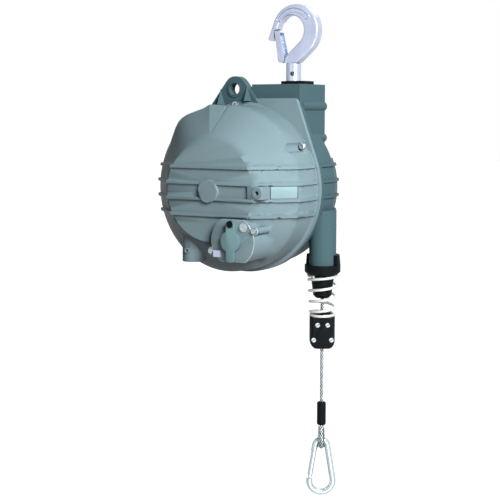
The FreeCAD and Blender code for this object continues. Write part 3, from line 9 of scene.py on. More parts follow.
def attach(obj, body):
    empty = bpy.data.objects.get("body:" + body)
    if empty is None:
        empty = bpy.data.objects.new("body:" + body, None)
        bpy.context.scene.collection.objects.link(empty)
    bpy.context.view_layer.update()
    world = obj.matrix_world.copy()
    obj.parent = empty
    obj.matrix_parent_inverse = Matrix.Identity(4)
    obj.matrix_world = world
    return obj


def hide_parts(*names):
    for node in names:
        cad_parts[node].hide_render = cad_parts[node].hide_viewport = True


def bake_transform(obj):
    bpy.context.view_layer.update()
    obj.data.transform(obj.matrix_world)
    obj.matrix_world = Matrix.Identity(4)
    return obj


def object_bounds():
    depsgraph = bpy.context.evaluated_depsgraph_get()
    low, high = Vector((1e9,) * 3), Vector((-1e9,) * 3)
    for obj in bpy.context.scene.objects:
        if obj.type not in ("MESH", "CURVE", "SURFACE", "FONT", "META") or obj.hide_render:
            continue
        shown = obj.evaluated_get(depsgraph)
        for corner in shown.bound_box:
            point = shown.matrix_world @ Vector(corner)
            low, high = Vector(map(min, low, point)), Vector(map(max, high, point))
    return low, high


bl_info = {
    "name": "Spring Tool Balancer",
    "version": (1, 0, 0),
    "blender": (4, 5, 0),
    "location": "View3D > Sidebar > Balancer",
    "description": "Dresses the frame of a spring tool balancer: paint, metal, rope and stage",
    "category": "Object",
}

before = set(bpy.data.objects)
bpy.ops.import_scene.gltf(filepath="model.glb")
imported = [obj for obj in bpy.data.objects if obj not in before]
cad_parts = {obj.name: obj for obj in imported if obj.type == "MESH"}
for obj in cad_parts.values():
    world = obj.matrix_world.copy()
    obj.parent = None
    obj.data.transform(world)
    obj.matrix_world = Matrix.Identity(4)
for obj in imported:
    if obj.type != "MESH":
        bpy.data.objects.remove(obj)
CAD_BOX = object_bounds()

# Metres. A depth is measured from the parting of the casing and is negative in front of it.
DRUM_AXIS = Vector((-0.0615, -0.040, -0.269))
ROPE_LINE = Vector((0.0545, 0.0, 0.0))
ROPE_TURN = Matrix.Rotation(math.radians(32), 4, "Z")  # how the fittings on the rope face
ROPE_MOUTH, ROPE_CLAMP, ROPE_END = -0.4433, -0.4663, -0.613
ROPE_RUN = 2.04
CLAMP_TOP = 0.2043  # below the drum axis
CONE_FACE, CONE_SHOULDER = (0.0774, -0.109), (0.1288, -0.0586)  # radius and depth
CONE_FALL = 0.9805
COVER_BACK = -0.0085


# ---- sizes and colours a user would change -------------------------------------

def colour(name, description, default):
    return bpy.props.FloatVectorProperty(name=name, description=description, subtype="COLOR",
                                         size=3, min=0, max=1, default=default)


def length(name, description, default):
    return bpy.props.FloatProperty(name=name, description=description, unit="LENGTH",
                                   subtype="DISTANCE", min=0, default=default, precision=5)


class FinishSettings(bpy.types.PropertyGroup):
    paint: colour("Cover paint", "Paint of the front cover", (0.135, 0.18, 0.19))
    rear_paint: colour("Casing paint", "Paint of the rear casing", (0.045, 0.078, 0.085))
    zinc: colour("Zinc", "Plated steel of the hooks", (0.40, 0.43, 0.54))
    chrome: colour("Chrome", "Bright steel of the snap hook", (0.40, 0.47, 0.48))
    black: colour("Black", "Black plastic and painted parts", (0.004, 0.005, 0.006))
    spring: colour("Spring", "Pale coating of the buffer spring", (0.52, 0.51, 0.48))
    rope: colour("Rope", "Steel wire rope", (0.62, 0.66, 0.66))


class RopeSettings(bpy.types.PropertyGroup):
    strands: bpy.props.IntProperty(name="Strands", description="Strands in the rope",
                                   default=5, min=3, max=12)
    radius: length("Radius", "Radius of the whole rope", 0.003)
    lay: length("Lay", "Length of one full turn of a strand", 0.030)
    thimble_wall: length("Thimble wall", "Sheet thickness of the eye's liner", 0.0009)
    thimble_lip: length("Thimble lip", "Half the width over the liner's lips", 0.0048)


class SpringSettings(bpy.types.PropertyGroup):
    wire: length("Wire", "Radius of the spring wire", 0.0023)
    upper: length("Upper radius", "Coil radius at the rope guide", 0.0224)
    lower: length("Lower radius", "Coil radius at the clamp", 0.0184)
    seat: length("Seat", "Depth of the spring's lower seat below the drum axis", CLAMP_TOP)


class ScrewSettings(bpy.types.PropertyGroup):
    radius: length("Radius", "Radius of a clamp screw's head", 0.0037)
    rise: length("Rise", "Height of the head", 0.0024)
    slot: length("Slot", "Width of the slot", 0.0011)


class ChannelSettings(bpy.types.PropertyGroup):
    across: length("Across", "Distance of the channel's axis beside the drum axis", 0.1135)
    height: length("Height", "Height of the channel's axis above the drum axis", 0.0671)
    radius: length("Radius", "Radius of the channel", 0.0087)
    depth: length("Floor", "Distance of the channel's floor in front of the parting", 0.018)


class PlateSettings(bpy.types.PropertyGroup):
    inner: length("Inner edge", "Distance of the plate's inner edge from the axis", 0.0975)
    outer: length("Outer edge", "Distance of the plate's outer edge from the axis", 0.1265)
    height: length("Height", "Height of the bare plate", 0.0185)
    thick: length("Thickness", "Sheet thickness of the bare plate", 0.0006)


class StageSettings(bpy.types.PropertyGroup):
    camera: bpy.props.FloatVectorProperty(name="Camera", description="Where the camera stands",
                                          unit="LENGTH", subtype="TRANSLATION",
                                          default=(0.8816, -1.5466, -0.1518))
    heading: bpy.props.FloatProperty(name="Heading",
                                     description="Camera's turn about the vertical",
                                     unit="ROTATION", subtype="ANGLE", default=math.radians(31.9))
    pitch: bpy.props.FloatProperty(name="Pitch", description="How far the camera looks down",
                                   unit="ROTATION", subtype="ANGLE", default=math.radians(7.01))
    lens: bpy.props.FloatProperty(name="Lens", description="Focal length in millimetres",
                                  default=80.17)


# ---- shader groups -------------------------------------------------------------

def new_group(name, **numbers):
    """A shader group that takes a colour and some numbers, and gives a colour, a roughness
    and a height."""
    tree = bpy.data.node_groups.new(name, "ShaderNodeTree")
    face = tree.interface
    face.new_socket(name="Colour", in_out="INPUT", socket_type="NodeSocketColor")
    for label, default in numbers.items():
        face.new_socket(name=label, in_out="INPUT",
                        socket_type="NodeSocketFloat").default_value = default
    face.new_socket(name="Colour", in_out="OUTPUT", socket_type="NodeSocketColor")
    for label in ("Roughness", "Height"):
        face.new_socket(name=label, in_out="OUTPUT", socket_type="NodeSocketFloat")
    return tree, tree.nodes.new("NodeGroupInput"), tree.nodes.new("NodeGroupOutput")


def link(tree, *pairs):
    """Join each output to its input."""
    for source, target in pairs:
        tree.links.new(source, target)


def math_node(tree, operation, *values):
    """A sum of sockets or numbers, as an output."""
    item = tree.nodes.new("ShaderNodeMath")
    item.operation = operation
    for socket, value in zip(item.inputs, values):
        if isinstance(value, (int, float)):
            socket.default_value = value
        else:
            tree.links.new(value, socket)
    return item.outputs[0]


def noise(tree, place, scale, detail=3.0, rough=0.5):
    """A noise pattern over a place, as an output."""
    item = tree.nodes.new("ShaderNodeTexNoise")
    item.inputs["Detail"].default_value = detail
    item.inputs["Roughness"].default_value = rough
    tree.links.new(place, item.inputs["Vector"])
    if isinstance(scale, (int, float)):
        item.inputs["Scale"].default_value = scale
    else:
        tree.links.new(scale, item.inputs["Scale"])
    return item.outputs["Fac"]


def cast_skin_group():
    """Fine orange-peel height and a slow drift of tone, for paint over a casting."""
    tree, given, result = new_group("CastSkin", Grain=900.0, Drift=0.10, Roughness=0.4)
    place = tree.nodes.new("ShaderNodeTexCoord").outputs["Object"]
    fine = noise(tree, place, given.outputs["Grain"], 2.0)
    slow = noise(tree, place, 14.0, 4.0, 0.6)
    tone = tree.nodes.new("ShaderNodeHueSaturation")
    swing = math_node(tree, "MULTIPLY", math_node(tree, "SUBTRACT", slow, 0.5),
                      given.outputs["Drift"])
    speck = math_node(tree, "MULTIPLY", math_node(tree, "SUBTRACT", fine, 0.5), 0.25)
    link(tree, (math_node(tree, "ADD", math_node(tree, "ADD", swing, speck), 1.0),
                tone.inputs["Value"]),
         (given.outputs["Colour"], tone.inputs["Color"]),
         (tone.outputs["Color"], result.inputs["Colour"]),
         (math_node(tree, "ADD", given.outputs["Roughness"],
                    math_node(tree, "MULTIPLY", swing, 0.6)), result.inputs["Roughness"]),
         (fine, result.inputs["Height"]))
    return tree


def brushed_group():
    """Fine streaks along one axis and dull patches, for worked or plated steel."""
    tree, given, result = new_group("WorkedMetal", Streak=60.0, Dull=0.12, Roughness=0.3)
    place = tree.nodes.new("ShaderNodeTexCoord").outputs["Object"]
    squeeze = tree.nodes.new("ShaderNodeMapping")
    squeeze.inputs["Scale"].default_value = (1.0, 1.0, 0.12)
    link(tree, (place, squeeze.inputs["Vector"]))
    streak = noise(tree, squeeze.outputs["Vector"], given.outputs["Streak"], 5.0, 0.7)
    patch = noise(tree, place, 45.0, 3.0)
    swing = math_node(tree, "MULTIPLY", math_node(tree, "SUBTRACT", patch, 0.5),
                      given.outputs["Dull"])
    lines = math_node(tree, "MULTIPLY", math_node(tree, "SUBTRACT", streak, 0.5), 0.2)
    tone = tree.nodes.new("ShaderNodeHueSaturation")
    link(tree, (math_node(tree, "ADD", math_node(tree, "ADD", swing, lines), 1.0),
                tone.inputs["Value"]),
         (given.outputs["Colour"], tone.inputs["Color"]),
         (tone.outputs["Color"], result.inputs["Colour"]),
         (math_node(tree, "ADD", given.outputs["Roughness"], swing), result.inputs["Roughness"]),
         (streak, result.inputs["Height"]))
    return tree


def strand_group():
    """Fine wires on a strand, with painted shade where the strands meet and in the grooves
    between the wires.
    """
    tree, given, result = new_group("StrandWires", Wires=5.0, Twist=1.0, Roughness=0.35)
    along = tree.nodes.new("ShaderNodeUVMap")
    along.uv_map = "Strand"
    split = tree.nodes.new("ShaderNodeSeparateXYZ")
    crown = tree.nodes.new("ShaderNodeAttribute")
    crown.attribute_name = "crown"
    blend = tree.nodes.new("ShaderNodeMix")
    blend.data_type = "RGBA"
    # painted shade: the near-black colour where the strands meet, on the core and between the
    # wires
    blend.inputs["A"].default_value = (0.006, 0.007, 0.008, 1)
    link(tree, (along.outputs["UV"], split.inputs["Vector"]))
    turns = math_node(tree, "ADD",
                      math_node(tree, "MULTIPLY", split.outputs["X"], given.outputs["Wires"]),
                      math_node(tree, "MULTIPLY", split.outputs["Y"], given.outputs["Twist"]))
    wave = math_node(tree, "SINE", math_node(tree, "MULTIPLY", turns, 2 * math.pi))
    height = math_node(tree, "ADD", math_node(tree, "MULTIPLY", wave, 0.5), 0.5)
    # the strand's own colour shows on its crown and turns to painted shade toward its sides;
    # lower wire height darkens the grooves, also painted shade
    bright = math_node(tree, "SUBTRACT",
                       math_node(tree, "MULTIPLY", crown.outputs["Fac"], 4.0), 2.75)
    painted_lit_share = math_node(tree, "MULTIPLY", math_node(tree, "MAXIMUM", bright, 0.0),
                      math_node(tree, "ADD", math_node(tree, "MULTIPLY", height, 0.5), 0.6))
    link(tree, (math_node(tree, "MINIMUM", painted_lit_share, 1.0), blend.inputs["Factor"]),
         (given.outputs["Colour"], blend.inputs["B"]),
         (blend.outputs["Result"], result.inputs["Colour"]),
         (math_node(tree, "ADD", given.outputs["Roughness"],
                    math_node(tree, "MULTIPLY", height, 0.15)), result.inputs["Roughness"]),
         (height, result.inputs["Height"]))
    return tree


def finish_material(name, group, tint, metallic, values, bump, distance, level=None):
    """A material: one effect group feeding a Principled shader and its bump."""
    made = bpy.data.materials.new(name)
    made.use_nodes = True
    tree = made.node_tree
    shader = tree.nodes["Principled BSDF"]
    effect = tree.nodes.new("ShaderNodeGroup")
    effect.node_tree = group
    effect.inputs["Colour"].default_value = (*tint, 1)
    for label, value in values.items():
        effect.inputs[label].default_value = value
    relief = tree.nodes.new("ShaderNodeBump")
    relief.inputs["Strength"].default_value = bump
    relief.inputs["Distance"].default_value = distance
    link(tree, (effect.outputs["Colour"], shader.inputs["Base Color"]),
         (effect.outputs["Roughness"], shader.inputs["Roughness"]),
         (effect.outputs["Height"], relief.inputs["Height"]),
         (relief.outputs["Normal"], shader.inputs["Normal"]))
    shader.inputs["Metallic"].default_value = metallic
    if level is not None:
        shader.inputs["Specular IOR Level"].default_value = level
    return made


FINISHES = {
    "cover_paint": ["front_cover", "lock_cap", "lug_plug"],
    "rear_paint": ["rear_casing", "worm_bracket"],
    "bare_casting": ["drum", "spring_barrel"],
    "plate_casting": ["lock_plate"],
    "black_paint": ["head_plate", "outlet_ring"],
    "zinc_steel": ["suspension_hook", "hook_latch", "latch_pin", "latch_spring", "coupling",
                   "lock_key", "thimble", "swivel_nut"],
    "bright_chrome": ["carabiner", "carabiner_gate", "gate_pin"],
    "dark_steel": ["coupling_pin", "lock_pin"],
    "screw_steel": ["cover_screws", "cap_screws", "clamp_screws",
                    "thrust_bearing", "drum_bearings", "front_bearing", "main_shaft", "worm",
                    "power_spring"],
    "black_plastic": ["rope_guide", "clamp_front", "clamp_rear", "ferrule", "lock_knob"],
    "rope_steel": ["rope_winding", "rope_lead", "rope_short", "rope_hang", "rope_eye"],
    "spring_coat": ["buffer_spring"],
    "gear_bronze": ["worm_wheel"],
}


def make_materials(look):
    """Every finish, by the name that FINISHES uses. A recipe is an effect group, a colour,
    how metallic it is, the group's numbers, the bump's strength and distance, and where it
    differs from the usual, the specular level."""
    skin, worked, strand = cast_skin_group(), brushed_group(), strand_group()
    recipes = {
        "cover_paint": (skin, look.paint, 0.0, {"Grain": 1100.0, "Roughness": 0.4}, 0.25,
                        0.0002, 0.02),
        "rear_paint": (skin, look.rear_paint, 0.0, {"Grain": 1100.0, "Roughness": 0.4}, 0.25,
                       0.0002, 0.02),
        "bare_casting": (skin, (0.46, 0.52, 0.53), 0.8, {"Grain": 1500.0, "Roughness": 0.42},
                         0.3, 0.0002),
        "plate_casting": (skin, (0.10, 0.175, 0.18), 0.3, {"Grain": 1500.0, "Roughness": 0.4},
                          0.3, 0.0002),
        # worn paint and painted highlight: the lighter colour on the rounded edges of the lock's
        # plate and cap
        "worn_edge": (skin, (0.55, 0.62, 0.62), 0.6, {"Grain": 1800.0, "Roughness": 0.34},
                      0.2, 0.0001),
        "black_paint": (skin, look.black, 0.0, {"Grain": 1400.0, "Roughness": 0.5}, 0.2,
                        0.0002, 0.04),
        "zinc_steel": (worked, look.zinc, 0.65, {"Roughness": 0.3, "Dull": 0.3}, 0.3, 0.0004),
        "bright_chrome": (worked, look.chrome, 0.65, {"Roughness": 0.2, "Dull": 0.1}, 0.1,
                          0.0001),
        # dark steel of the pins; also painted shade on the screw slots' floors and round the bare
        # plate
        "dark_steel": (worked, (0.03, 0.032, 0.036), 0.6, {"Roughness": 0.4}, 0.1, 0.0001),
        "screw_steel": (worked, (0.38, 0.42, 0.44), 0.7, {"Roughness": 0.28}, 0.1, 0.0001),
        "black_plastic": (skin, look.black, 0.0, {"Grain": 2200.0, "Roughness": 0.45}, 0.15,
                          0.0001, 0.04),
        # painted highlight: the lighter black on the rounded edges of the black pieces
        "black_edge": (skin, (0.05, 0.055, 0.06), 0.0, {"Grain": 2200.0, "Roughness": 0.35},
                       0.15, 0.0001),
        "rope_steel": (worked, look.rope, 1.0, {"Streak": 300.0, "Roughness": 0.38}, 0.3,
                       0.0002),
        "strand_steel": (strand, look.rope, 0.9, {}, 0.5, 0.0002),
        "spring_coat": (worked, look.spring, 0.3, {"Roughness": 0.34}, 0.1, 0.0001),
        "gear_bronze": (worked, (0.50, 0.32, 0.13), 1.0, {"Roughness": 0.3}, 0.1, 0.0001),
        "label_sheet": (worked, (0.15, 0.225, 0.23), 0.2, {"Roughness": 0.33}, 0.1, 0.0001),
    }
    return {name: finish_material("".join(word.title() for word in name.split("_")),
                                  *recipe)
            for name, recipe in recipes.items()}


# ---- making pieces -------------------------------------------------------------

SURFACES = {}


def add_piece(name, mesh, body, slot, *surfaces, replaces=()):
    """Put a finished mesh in the scene, on its body and with its finishes."""
    for surface in surfaces:
        mesh.materials.append(SURFACES[surface])
    piece = holder_of(name, mesh)
    if body:
        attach(piece, body)
    if replaces:
        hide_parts(*replaces)
    return piece


def plain_copy(holder):
    """The shown shape of an object as a plain mesh; the object stays."""
    bpy.context.view_layer.update()
    seen = holder.evaluated_get(bpy.context.evaluated_depsgraph_get())
    return bpy.data.meshes.new_from_object(seen)


def plain_mesh(name, holder):
    """The shown shape of an object as a plain mesh; the object itself goes."""
    mesh = plain_copy(holder)
    mesh.name = name
    bpy.data.objects.remove(holder)
    return mesh


def right_way(mesh):
    """Turn every face outward."""
    work = bmesh.new()
    work.from_mesh(mesh)
    bmesh.ops.recalc_face_normals(work, faces=work.faces)
    work.to_mesh(mesh)
    work.free()


def built_mesh(name, build):
    """A mesh from gathered points and faces, with every face outward."""
    mesh = bpy.data.meshes.new(name)
    mesh.from_pydata(build[0], [], build[1])
    right_way(mesh)
    return mesh


def holder_of(name, data):
    """A new object in the scene that shows a mesh or a curve."""
    holder = bpy.data.objects.new(name, data)
    bpy.context.scene.collection.objects.link(holder)
    return holder


def full_turn(count):
    """Angles of a whole turn in equal steps."""
    return [2 * math.pi * step / count for step in range(count)]


def about_drum(angle, radius, depth):
    """A point at an angle and a radius about the drum axis."""
    return DRUM_AXIS + Vector((radius * math.cos(angle), depth, radius * math.sin(angle)))


def line_curve(name, points, kind="POLY", closed=False, radius=0.0, steps=3):
    """A curve object through points, with a round section if it has a radius."""
    curve = bpy.data.curves.new(name, "CURVE")
    curve.dimensions = "3D"
    spline = curve.splines.new(kind)
    spline.points.add(len(points) - 1)
    for knot, point in zip(spline.points, points):
        knot.co = (*point, 1)
    spline.use_cyclic_u = closed
    if kind == "NURBS":
        spline.order_u = 3
        spline.use_endpoint_u = True
        spline.resolution_u = 16
    curve.bevel_depth, curve.bevel_resolution = radius, steps
    curve.use_fill_caps = radius > 0 and not closed
    return holder_of(name, curve)


def route(name, corners):
    """Points along the smooth line that a route's corners give."""
    mesh = plain_mesh(name, line_curve(name, corners, "NURBS"))
    points = [vertex.co.copy() for vertex in mesh.vertices]
    bpy.data.meshes.remove(mesh)
    return points


def spaced(points, step):
    """The same line with points a step apart, and how far along each one is."""
    reach = [0.0]
    for near, far in zip(points, points[1:]):
        reach.append(reach[-1] + (far - near).length)
    count = max(2, round(reach[-1] / step))
    placed, index = [], 0
    for place in range(count + 1):
        want = reach[-1] * place / count
        while index < len(reach) - 2 and reach[index + 1] < want:
            index += 1
        share = (want - reach[index]) / (reach[index + 1] - reach[index])
        placed.append((points[index].lerp(points[index + 1], share), want))
    return placed


def frames_along(placed, start_side):
    """Each point with its direction and a side direction that doesn't twist."""
    side, made = Vector(start_side), []
    for index, (point, reach) in enumerate(placed):
        before = placed[max(index - 1, 0)][0]
        after = placed[min(index + 1, len(placed) - 1)][0]
        ahead = (after - before).normalized()
        side = (side - ahead * side.dot(ahead)).normalized()
        made.append((point, ahead, side, reach))
    return made


def add_tube(build, rings):
    """Join rings of points into a tube with closed ends; build gathers points and faces."""
    points, faces = build
    first, sides = len(points), len(rings[0])
    for ring in rings:
        points.extend(ring)
    for row in range(len(rings) - 1):
        for side in range(sides):
            a, b = first + row * sides + side, first + row * sides + (side + 1) % sides
            faces.append((a, b, b + sides, a + sides))
    last = first + (len(rings) - 1) * sides
    faces.append(tuple(range(first + sides - 1, first - 1, -1)))
    faces.append(tuple(range(last, last + sides)))


def strand_mesh(name, points, start_side, rope):
    """Round strands laid round a core along a line; a crown value, 1 on a strand's outside and 0
    where strands meet, masks the painted shade.
    """
    steps_per_lay, sides, core_share, uv_per_lay = 22, 8, 0.72, 3
    line = frames_along(spaced(points, rope.lay / steps_per_lay), start_side)
    share = math.sin(math.pi / rope.strands)
    small = rope.radius * share / (1 + share)
    circle = rope.radius - small
    build, crowns, places = ([], []), [], []
    for strand in range(rope.strands):
        rings = []
        for point, ahead, side, reach in line:
            turn = 2 * math.pi * (strand / rope.strands + reach / rope.lay)
            out = Matrix.Rotation(turn, 3, ahead) @ side
            across, centre = ahead.cross(out), point + out * circle
            ring = []
            for corner in range(sides):
                angle = 2 * math.pi * corner / sides
                ring.append(centre + (out * math.cos(angle) + across * math.sin(angle)) * small)
                # crown: 1 on the outside of the strand, 0 where it meets the others; the mask for
                # painted shade
                crowns.append(0.5 + 0.5 * math.cos(angle))
                places.append((corner / sides, reach / rope.lay * uv_per_lay))
            rings.append(ring)
        add_tube(build, rings)
    core = []
    for point, ahead, side, _ in line:
        core.append([point + (side * math.cos(a) + ahead.cross(side) * math.sin(a)) * circle
                     * core_share for a in full_turn(sides)])
        # the core takes crown 0, so it is painted all in shade
        crowns.extend([0.0] * sides)
        places.extend([(0, 0)] * sides)
    add_tube(build, core)
    mesh = bpy.data.meshes.new(name)
    mesh.from_pydata(build[0], [], build[1])
    mesh.attributes.new("crown", "FLOAT", "POINT").data.foreach_set("value", crowns)
    layer = mesh.uv_layers.new(name="Strand")
    for loop in mesh.loops:
        layer.data[loop.index].uv = places[loop.vertex_index]
    mesh.shade_smooth()
    return mesh


def merged_copy(node, flat_angle=None):
    """A CAD piece's mesh with its corners joined, and its flat faces if an angle is given."""
    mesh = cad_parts[node].data.copy()
    mesh.materials.clear()
    work = bmesh.new()
    work.from_mesh(mesh)
    bmesh.ops.remove_doubles(work, verts=work.verts, dist=1e-5)
    if flat_angle:
        bmesh.ops.dissolve_limit(work, angle_limit=flat_angle, verts=work.verts,
                                 edges=work.edges)
    work.to_mesh(mesh)
    work.free()
    return mesh


def edged_copy(name, node, body, slot, width, face, edge):
    """A CAD piece again, with rounded edges of a second, lighter finish that paints a highlight
    along them.
    """
    mesh = merged_copy(node, math.radians(2))
    for surface in (face, edge):
        mesh.materials.append(SURFACES[surface])
    holder = holder_of(name, mesh)
    rounding = holder.modifiers.new("Edges", "BEVEL")
    rounding.width, rounding.segments = width, 2
    rounding.limit_method, rounding.angle_limit = "ANGLE", math.radians(32)
    rounding.material = 1
    made = plain_mesh(name, holder)
    made.shade_smooth()
    made.set_sharp_from_angle(angle=math.radians(40))
    return add_piece(name, made, body, slot, replaces=(node,))


class BALANCER_OT_finishes(bpy.types.Operator):
    """Give every carried-over piece its finish"""
    bl_idname = "balancer.finishes"
    bl_label = "Finishes"

    def execute(self, context):
        SURFACES.update(make_materials(context.scene.balancer_finish))
        for name, nodes in FINISHES.items():
            for node in nodes:
                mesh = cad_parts[node].data
                mesh.materials.clear()
                mesh.materials.append(SURFACES[name])
        return {"FINISHED"}


class BALANCER_OT_rope(bpy.types.Operator):
    """The hanging wire rope, from the guide's mouth down into the ferrule"""
    bl_idname = "balancer.rope"
    bl_label = "Rope"

    def execute(self, context):
        rope = context.scene.balancer_rope
        mouth, clamp, middle, end = (ROPE_LINE + Vector((0, 0, z)) for z in (
            ROPE_MOUTH, ROPE_CLAMP, -0.53, ROPE_END))
        line = [point for point, _ in spaced(route("RopeLine", [mouth, middle, end]), 0.004)]
        piece = add_piece("RopeStrands", strand_mesh("RopeStrands", line, (1, 0, 0), rope),
                          None, "wire_rope", "strand_steel")
        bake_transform(piece)
        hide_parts("rope_short", "rope_hang")
        return {"FINISHED"}


class BALANCER_OT_eye(bpy.types.Operator):
    """The rope's eye below the ferrule, and the pressed liner inside it"""
    bl_idname = "balancer.eye"
    bl_label = "Rope eye"

    def execute(self, context):
        rope = context.scene.balancer_rope
        turn = Matrix.Translation(ROPE_LINE) @ ROPE_TURN @ Matrix.Rotation(math.pi / 2, 4, "Z")
        centre, start, near = Vector((0, 0, -0.67403)), Vector((0.0031, 0, -0.651)), 0.0146
        half = [start] + [centre + Vector((math.cos(math.radians(a)), 0,
                                           math.sin(math.radians(a)))) * near
                          for a in (50, 5, -42.5)]
        low = centre - Vector((0, 0, near))
        corners = half + [low] + [Vector((-p.x, p.y, p.z)) for p in reversed(half)]
        line = route("EyeLine", [turn @ corner for corner in corners])
        across = turn.to_3x3() @ Vector((0, 1, 0))
        add_piece("EyeStrands", strand_mesh("EyeStrands", line, across, rope),
                  "rope_end", "wire_rope", "strand_steel", replaces=("rope_eye",))
        gap, lip = 0.00015, rope.thimble_lip
        lip_corner, lip_end, lip_turn = -0.0012, -0.0020, 0.0004
        inner, outer = rope.radius + gap, rope.radius + rope.thimble_wall
        angles = [math.radians(a) for a in range(-90, 91, 18)]
        section = [(math.sin(a) * outer, math.cos(a) * outer) for a in angles]
        section += [(lip, lip_corner), (lip - lip_turn, lip_end)]
        section += [(math.sin(a) * inner, math.cos(a) * inner) for a in reversed(angles)]
        section += [(lip_turn - lip, lip_end), (-lip, lip_corner)]
        rings = []
        for point, ahead, _, _ in frames_along(spaced(line, 0.0015)[3:-3], across):
            inward = ahead.cross(across)
            if inward.dot(turn @ centre - point) < 0:
                inward = -inward
            rings.append([point + across * x + inward * y for x, y in section])
        build = ([], [])
        add_tube(build, rings)
        add_piece("ThimbleShell", built_mesh("ThimbleShell", build), "rope_end",
                  "bright_steel", "bright_chrome", replaces=("thimble",))
        return {"FINISHED"}


class BALANCER_OT_declare_rope(bpy.types.Operator):
    """A step that does nothing."""
    bl_idname = "balancer.declare_rope"
    bl_label = "Declare the rope"

    def execute(self, context):
        return {"FINISHED"}


class BALANCER_OT_spring(bpy.types.Operator):
    """The tapered buffer spring between the rope guide and the clamp"""
    bl_idname = "balancer.spring"
    bl_label = "Buffer spring"

    def execute(self, context):
        spring = context.scene.balancer_spring
        low = DRUM_AXIS.z - spring.seat + spring.wire
        # turns of the coil, and heights of the wire over its lower seat
        knots = [(-0.9, 0.0636), (-0.3, 0.0634), (0.0, 0.0610), (1.0, 0.0434), (2.0, 0.0260),
                 (3.0, 0.0085), (3.6, 0.0012), (4.0, 0.0002), (4.4, 0.0)]
        easing, turns = (-0.12, -0.06, 0, 0.06, 0.12), 4
        front, steps, points = math.radians(-61.9), 26, []
        for step in range(round((knots[-1][0] - knots[0][0]) * steps) + 1):
            turn = knots[0][0] + step / steps
            heights = [height_at(knots, turn + shift) for shift in easing]
            share = min(max(turn / turns, 0), 1)
            radius = spring.upper + (spring.lower - spring.upper) * share
            angle = front - 2 * math.pi * turn
            points.append(ROPE_LINE + Vector((radius * math.cos(angle),
                                              radius * math.sin(angle),
                                              low + sum(heights) / len(heights))))
        coil = plain_mesh("BufferCoil", line_curve("BufferCoil", points, radius=spring.wire,
                                                   steps=4))
        coil.shade_smooth()
        add_piece("BufferCoil", coil, "casing", "buffer_steel", "spring_coat",
                  replaces=("buffer_spring",))
        return {"FINISHED"}


def height_at(knots, turn):
    """A height read off a short table of turns and heights."""
    turn = min(max(turn, knots[0][0]), knots[-1][0])
    for (near, low), (far, high) in zip(knots, knots[1:]):
        if turn <= far:
            return low + (high - low) * (turn - near) / (far - near)
    return knots[-1][1]


def slot_shade_floor_mesh(screw):
    """The round floor under a slotted head, dark as painted shade in the slot."""
    build = ([], [])
    add_tube(build, [[(screw.radius * math.cos(a), screw.radius * math.sin(a), z)
                      for a in full_turn(24)] for z in (-screw.rise, -0.45 * screw.rise)])
    return built_mesh("SlotFloor", build)


def head_mesh(screw):
    """The two halves of a slotted head, with a rounded rim."""
    build, half, steps = ([], []), screw.slot / 2, 14
    start = math.asin(half / screw.radius)
    angles = [start + (math.pi - 2 * start) * step / steps for step in range(steps + 1)]
    for side in (1, -1):
        add_tube(build, [[(r * math.cos(a), side * max(r * math.sin(a), half), z)
                          for a in angles]
                         for r, z in ((screw.radius, -0.44 * screw.rise),
                                      (screw.radius, -0.15 * screw.rise),
                                      (0.86 * screw.radius, 0.0))])
    return built_mesh("ScrewHead", build)


def repeat_tree(name):
    """Geometry nodes: one piece at every point, turned alike, as plain mesh."""
    tree = bpy.data.node_groups.new(name, "GeometryNodeTree")
    for label, kind in (("Places", "NodeSocketGeometry"), ("Piece", "NodeSocketObject"),
                        ("Turn", "NodeSocketRotation"), ("Finish", "NodeSocketMaterial")):
        tree.interface.new_socket(name=label, in_out="INPUT", socket_type=kind)
    tree.interface.new_socket(name="Pieces", in_out="OUTPUT", socket_type="NodeSocketGeometry")
    given, result = tree.nodes.new("NodeGroupInput"), tree.nodes.new("NodeGroupOutput")
    piece = tree.nodes.new("GeometryNodeObjectInfo")
    put = tree.nodes.new("GeometryNodeInstanceOnPoints")
    real = tree.nodes.new("GeometryNodeRealizeInstances")
    finish = tree.nodes.new("GeometryNodeSetMaterial")
    link(tree, (given.outputs["Places"], put.inputs["Points"]),
         (given.outputs["Piece"], piece.inputs["Object"]),
         (piece.outputs["Geometry"], put.inputs["Instance"]),
         (given.outputs["Turn"], put.inputs["Rotation"]),
         (put.outputs["Instances"], real.inputs["Geometry"]),
         (real.outputs["Geometry"], finish.inputs["Geometry"]),
         (given.outputs["Finish"], finish.inputs["Material"]),
         (finish.outputs["Geometry"], result.inputs["Pieces"]))
    return tree


def repeated(name, places, piece_mesh, turn, surface):
    """A piece set at every place, as one plain mesh."""
    tree = repeat_tree(name + "Layout")
    template = holder_of(name + "Template", piece_mesh)
    cloud = bpy.data.meshes.new(name + "Places")
    cloud.from_pydata(places, [], [])
    holder = holder_of(name, cloud)
    layout = holder.modifiers.new("Layout", "NODES")
    layout.node_group = tree
    values = {"Piece": template, "Turn": turn, "Finish": SURFACES[surface]}
    for socket in tree.interface.items_tree:
        if socket.in_out == "INPUT" and socket.name in values:
            layout[socket.identifier] = values[socket.name]
    mesh = plain_mesh(name, holder)
    bpy.data.objects.remove(template)
    return mesh


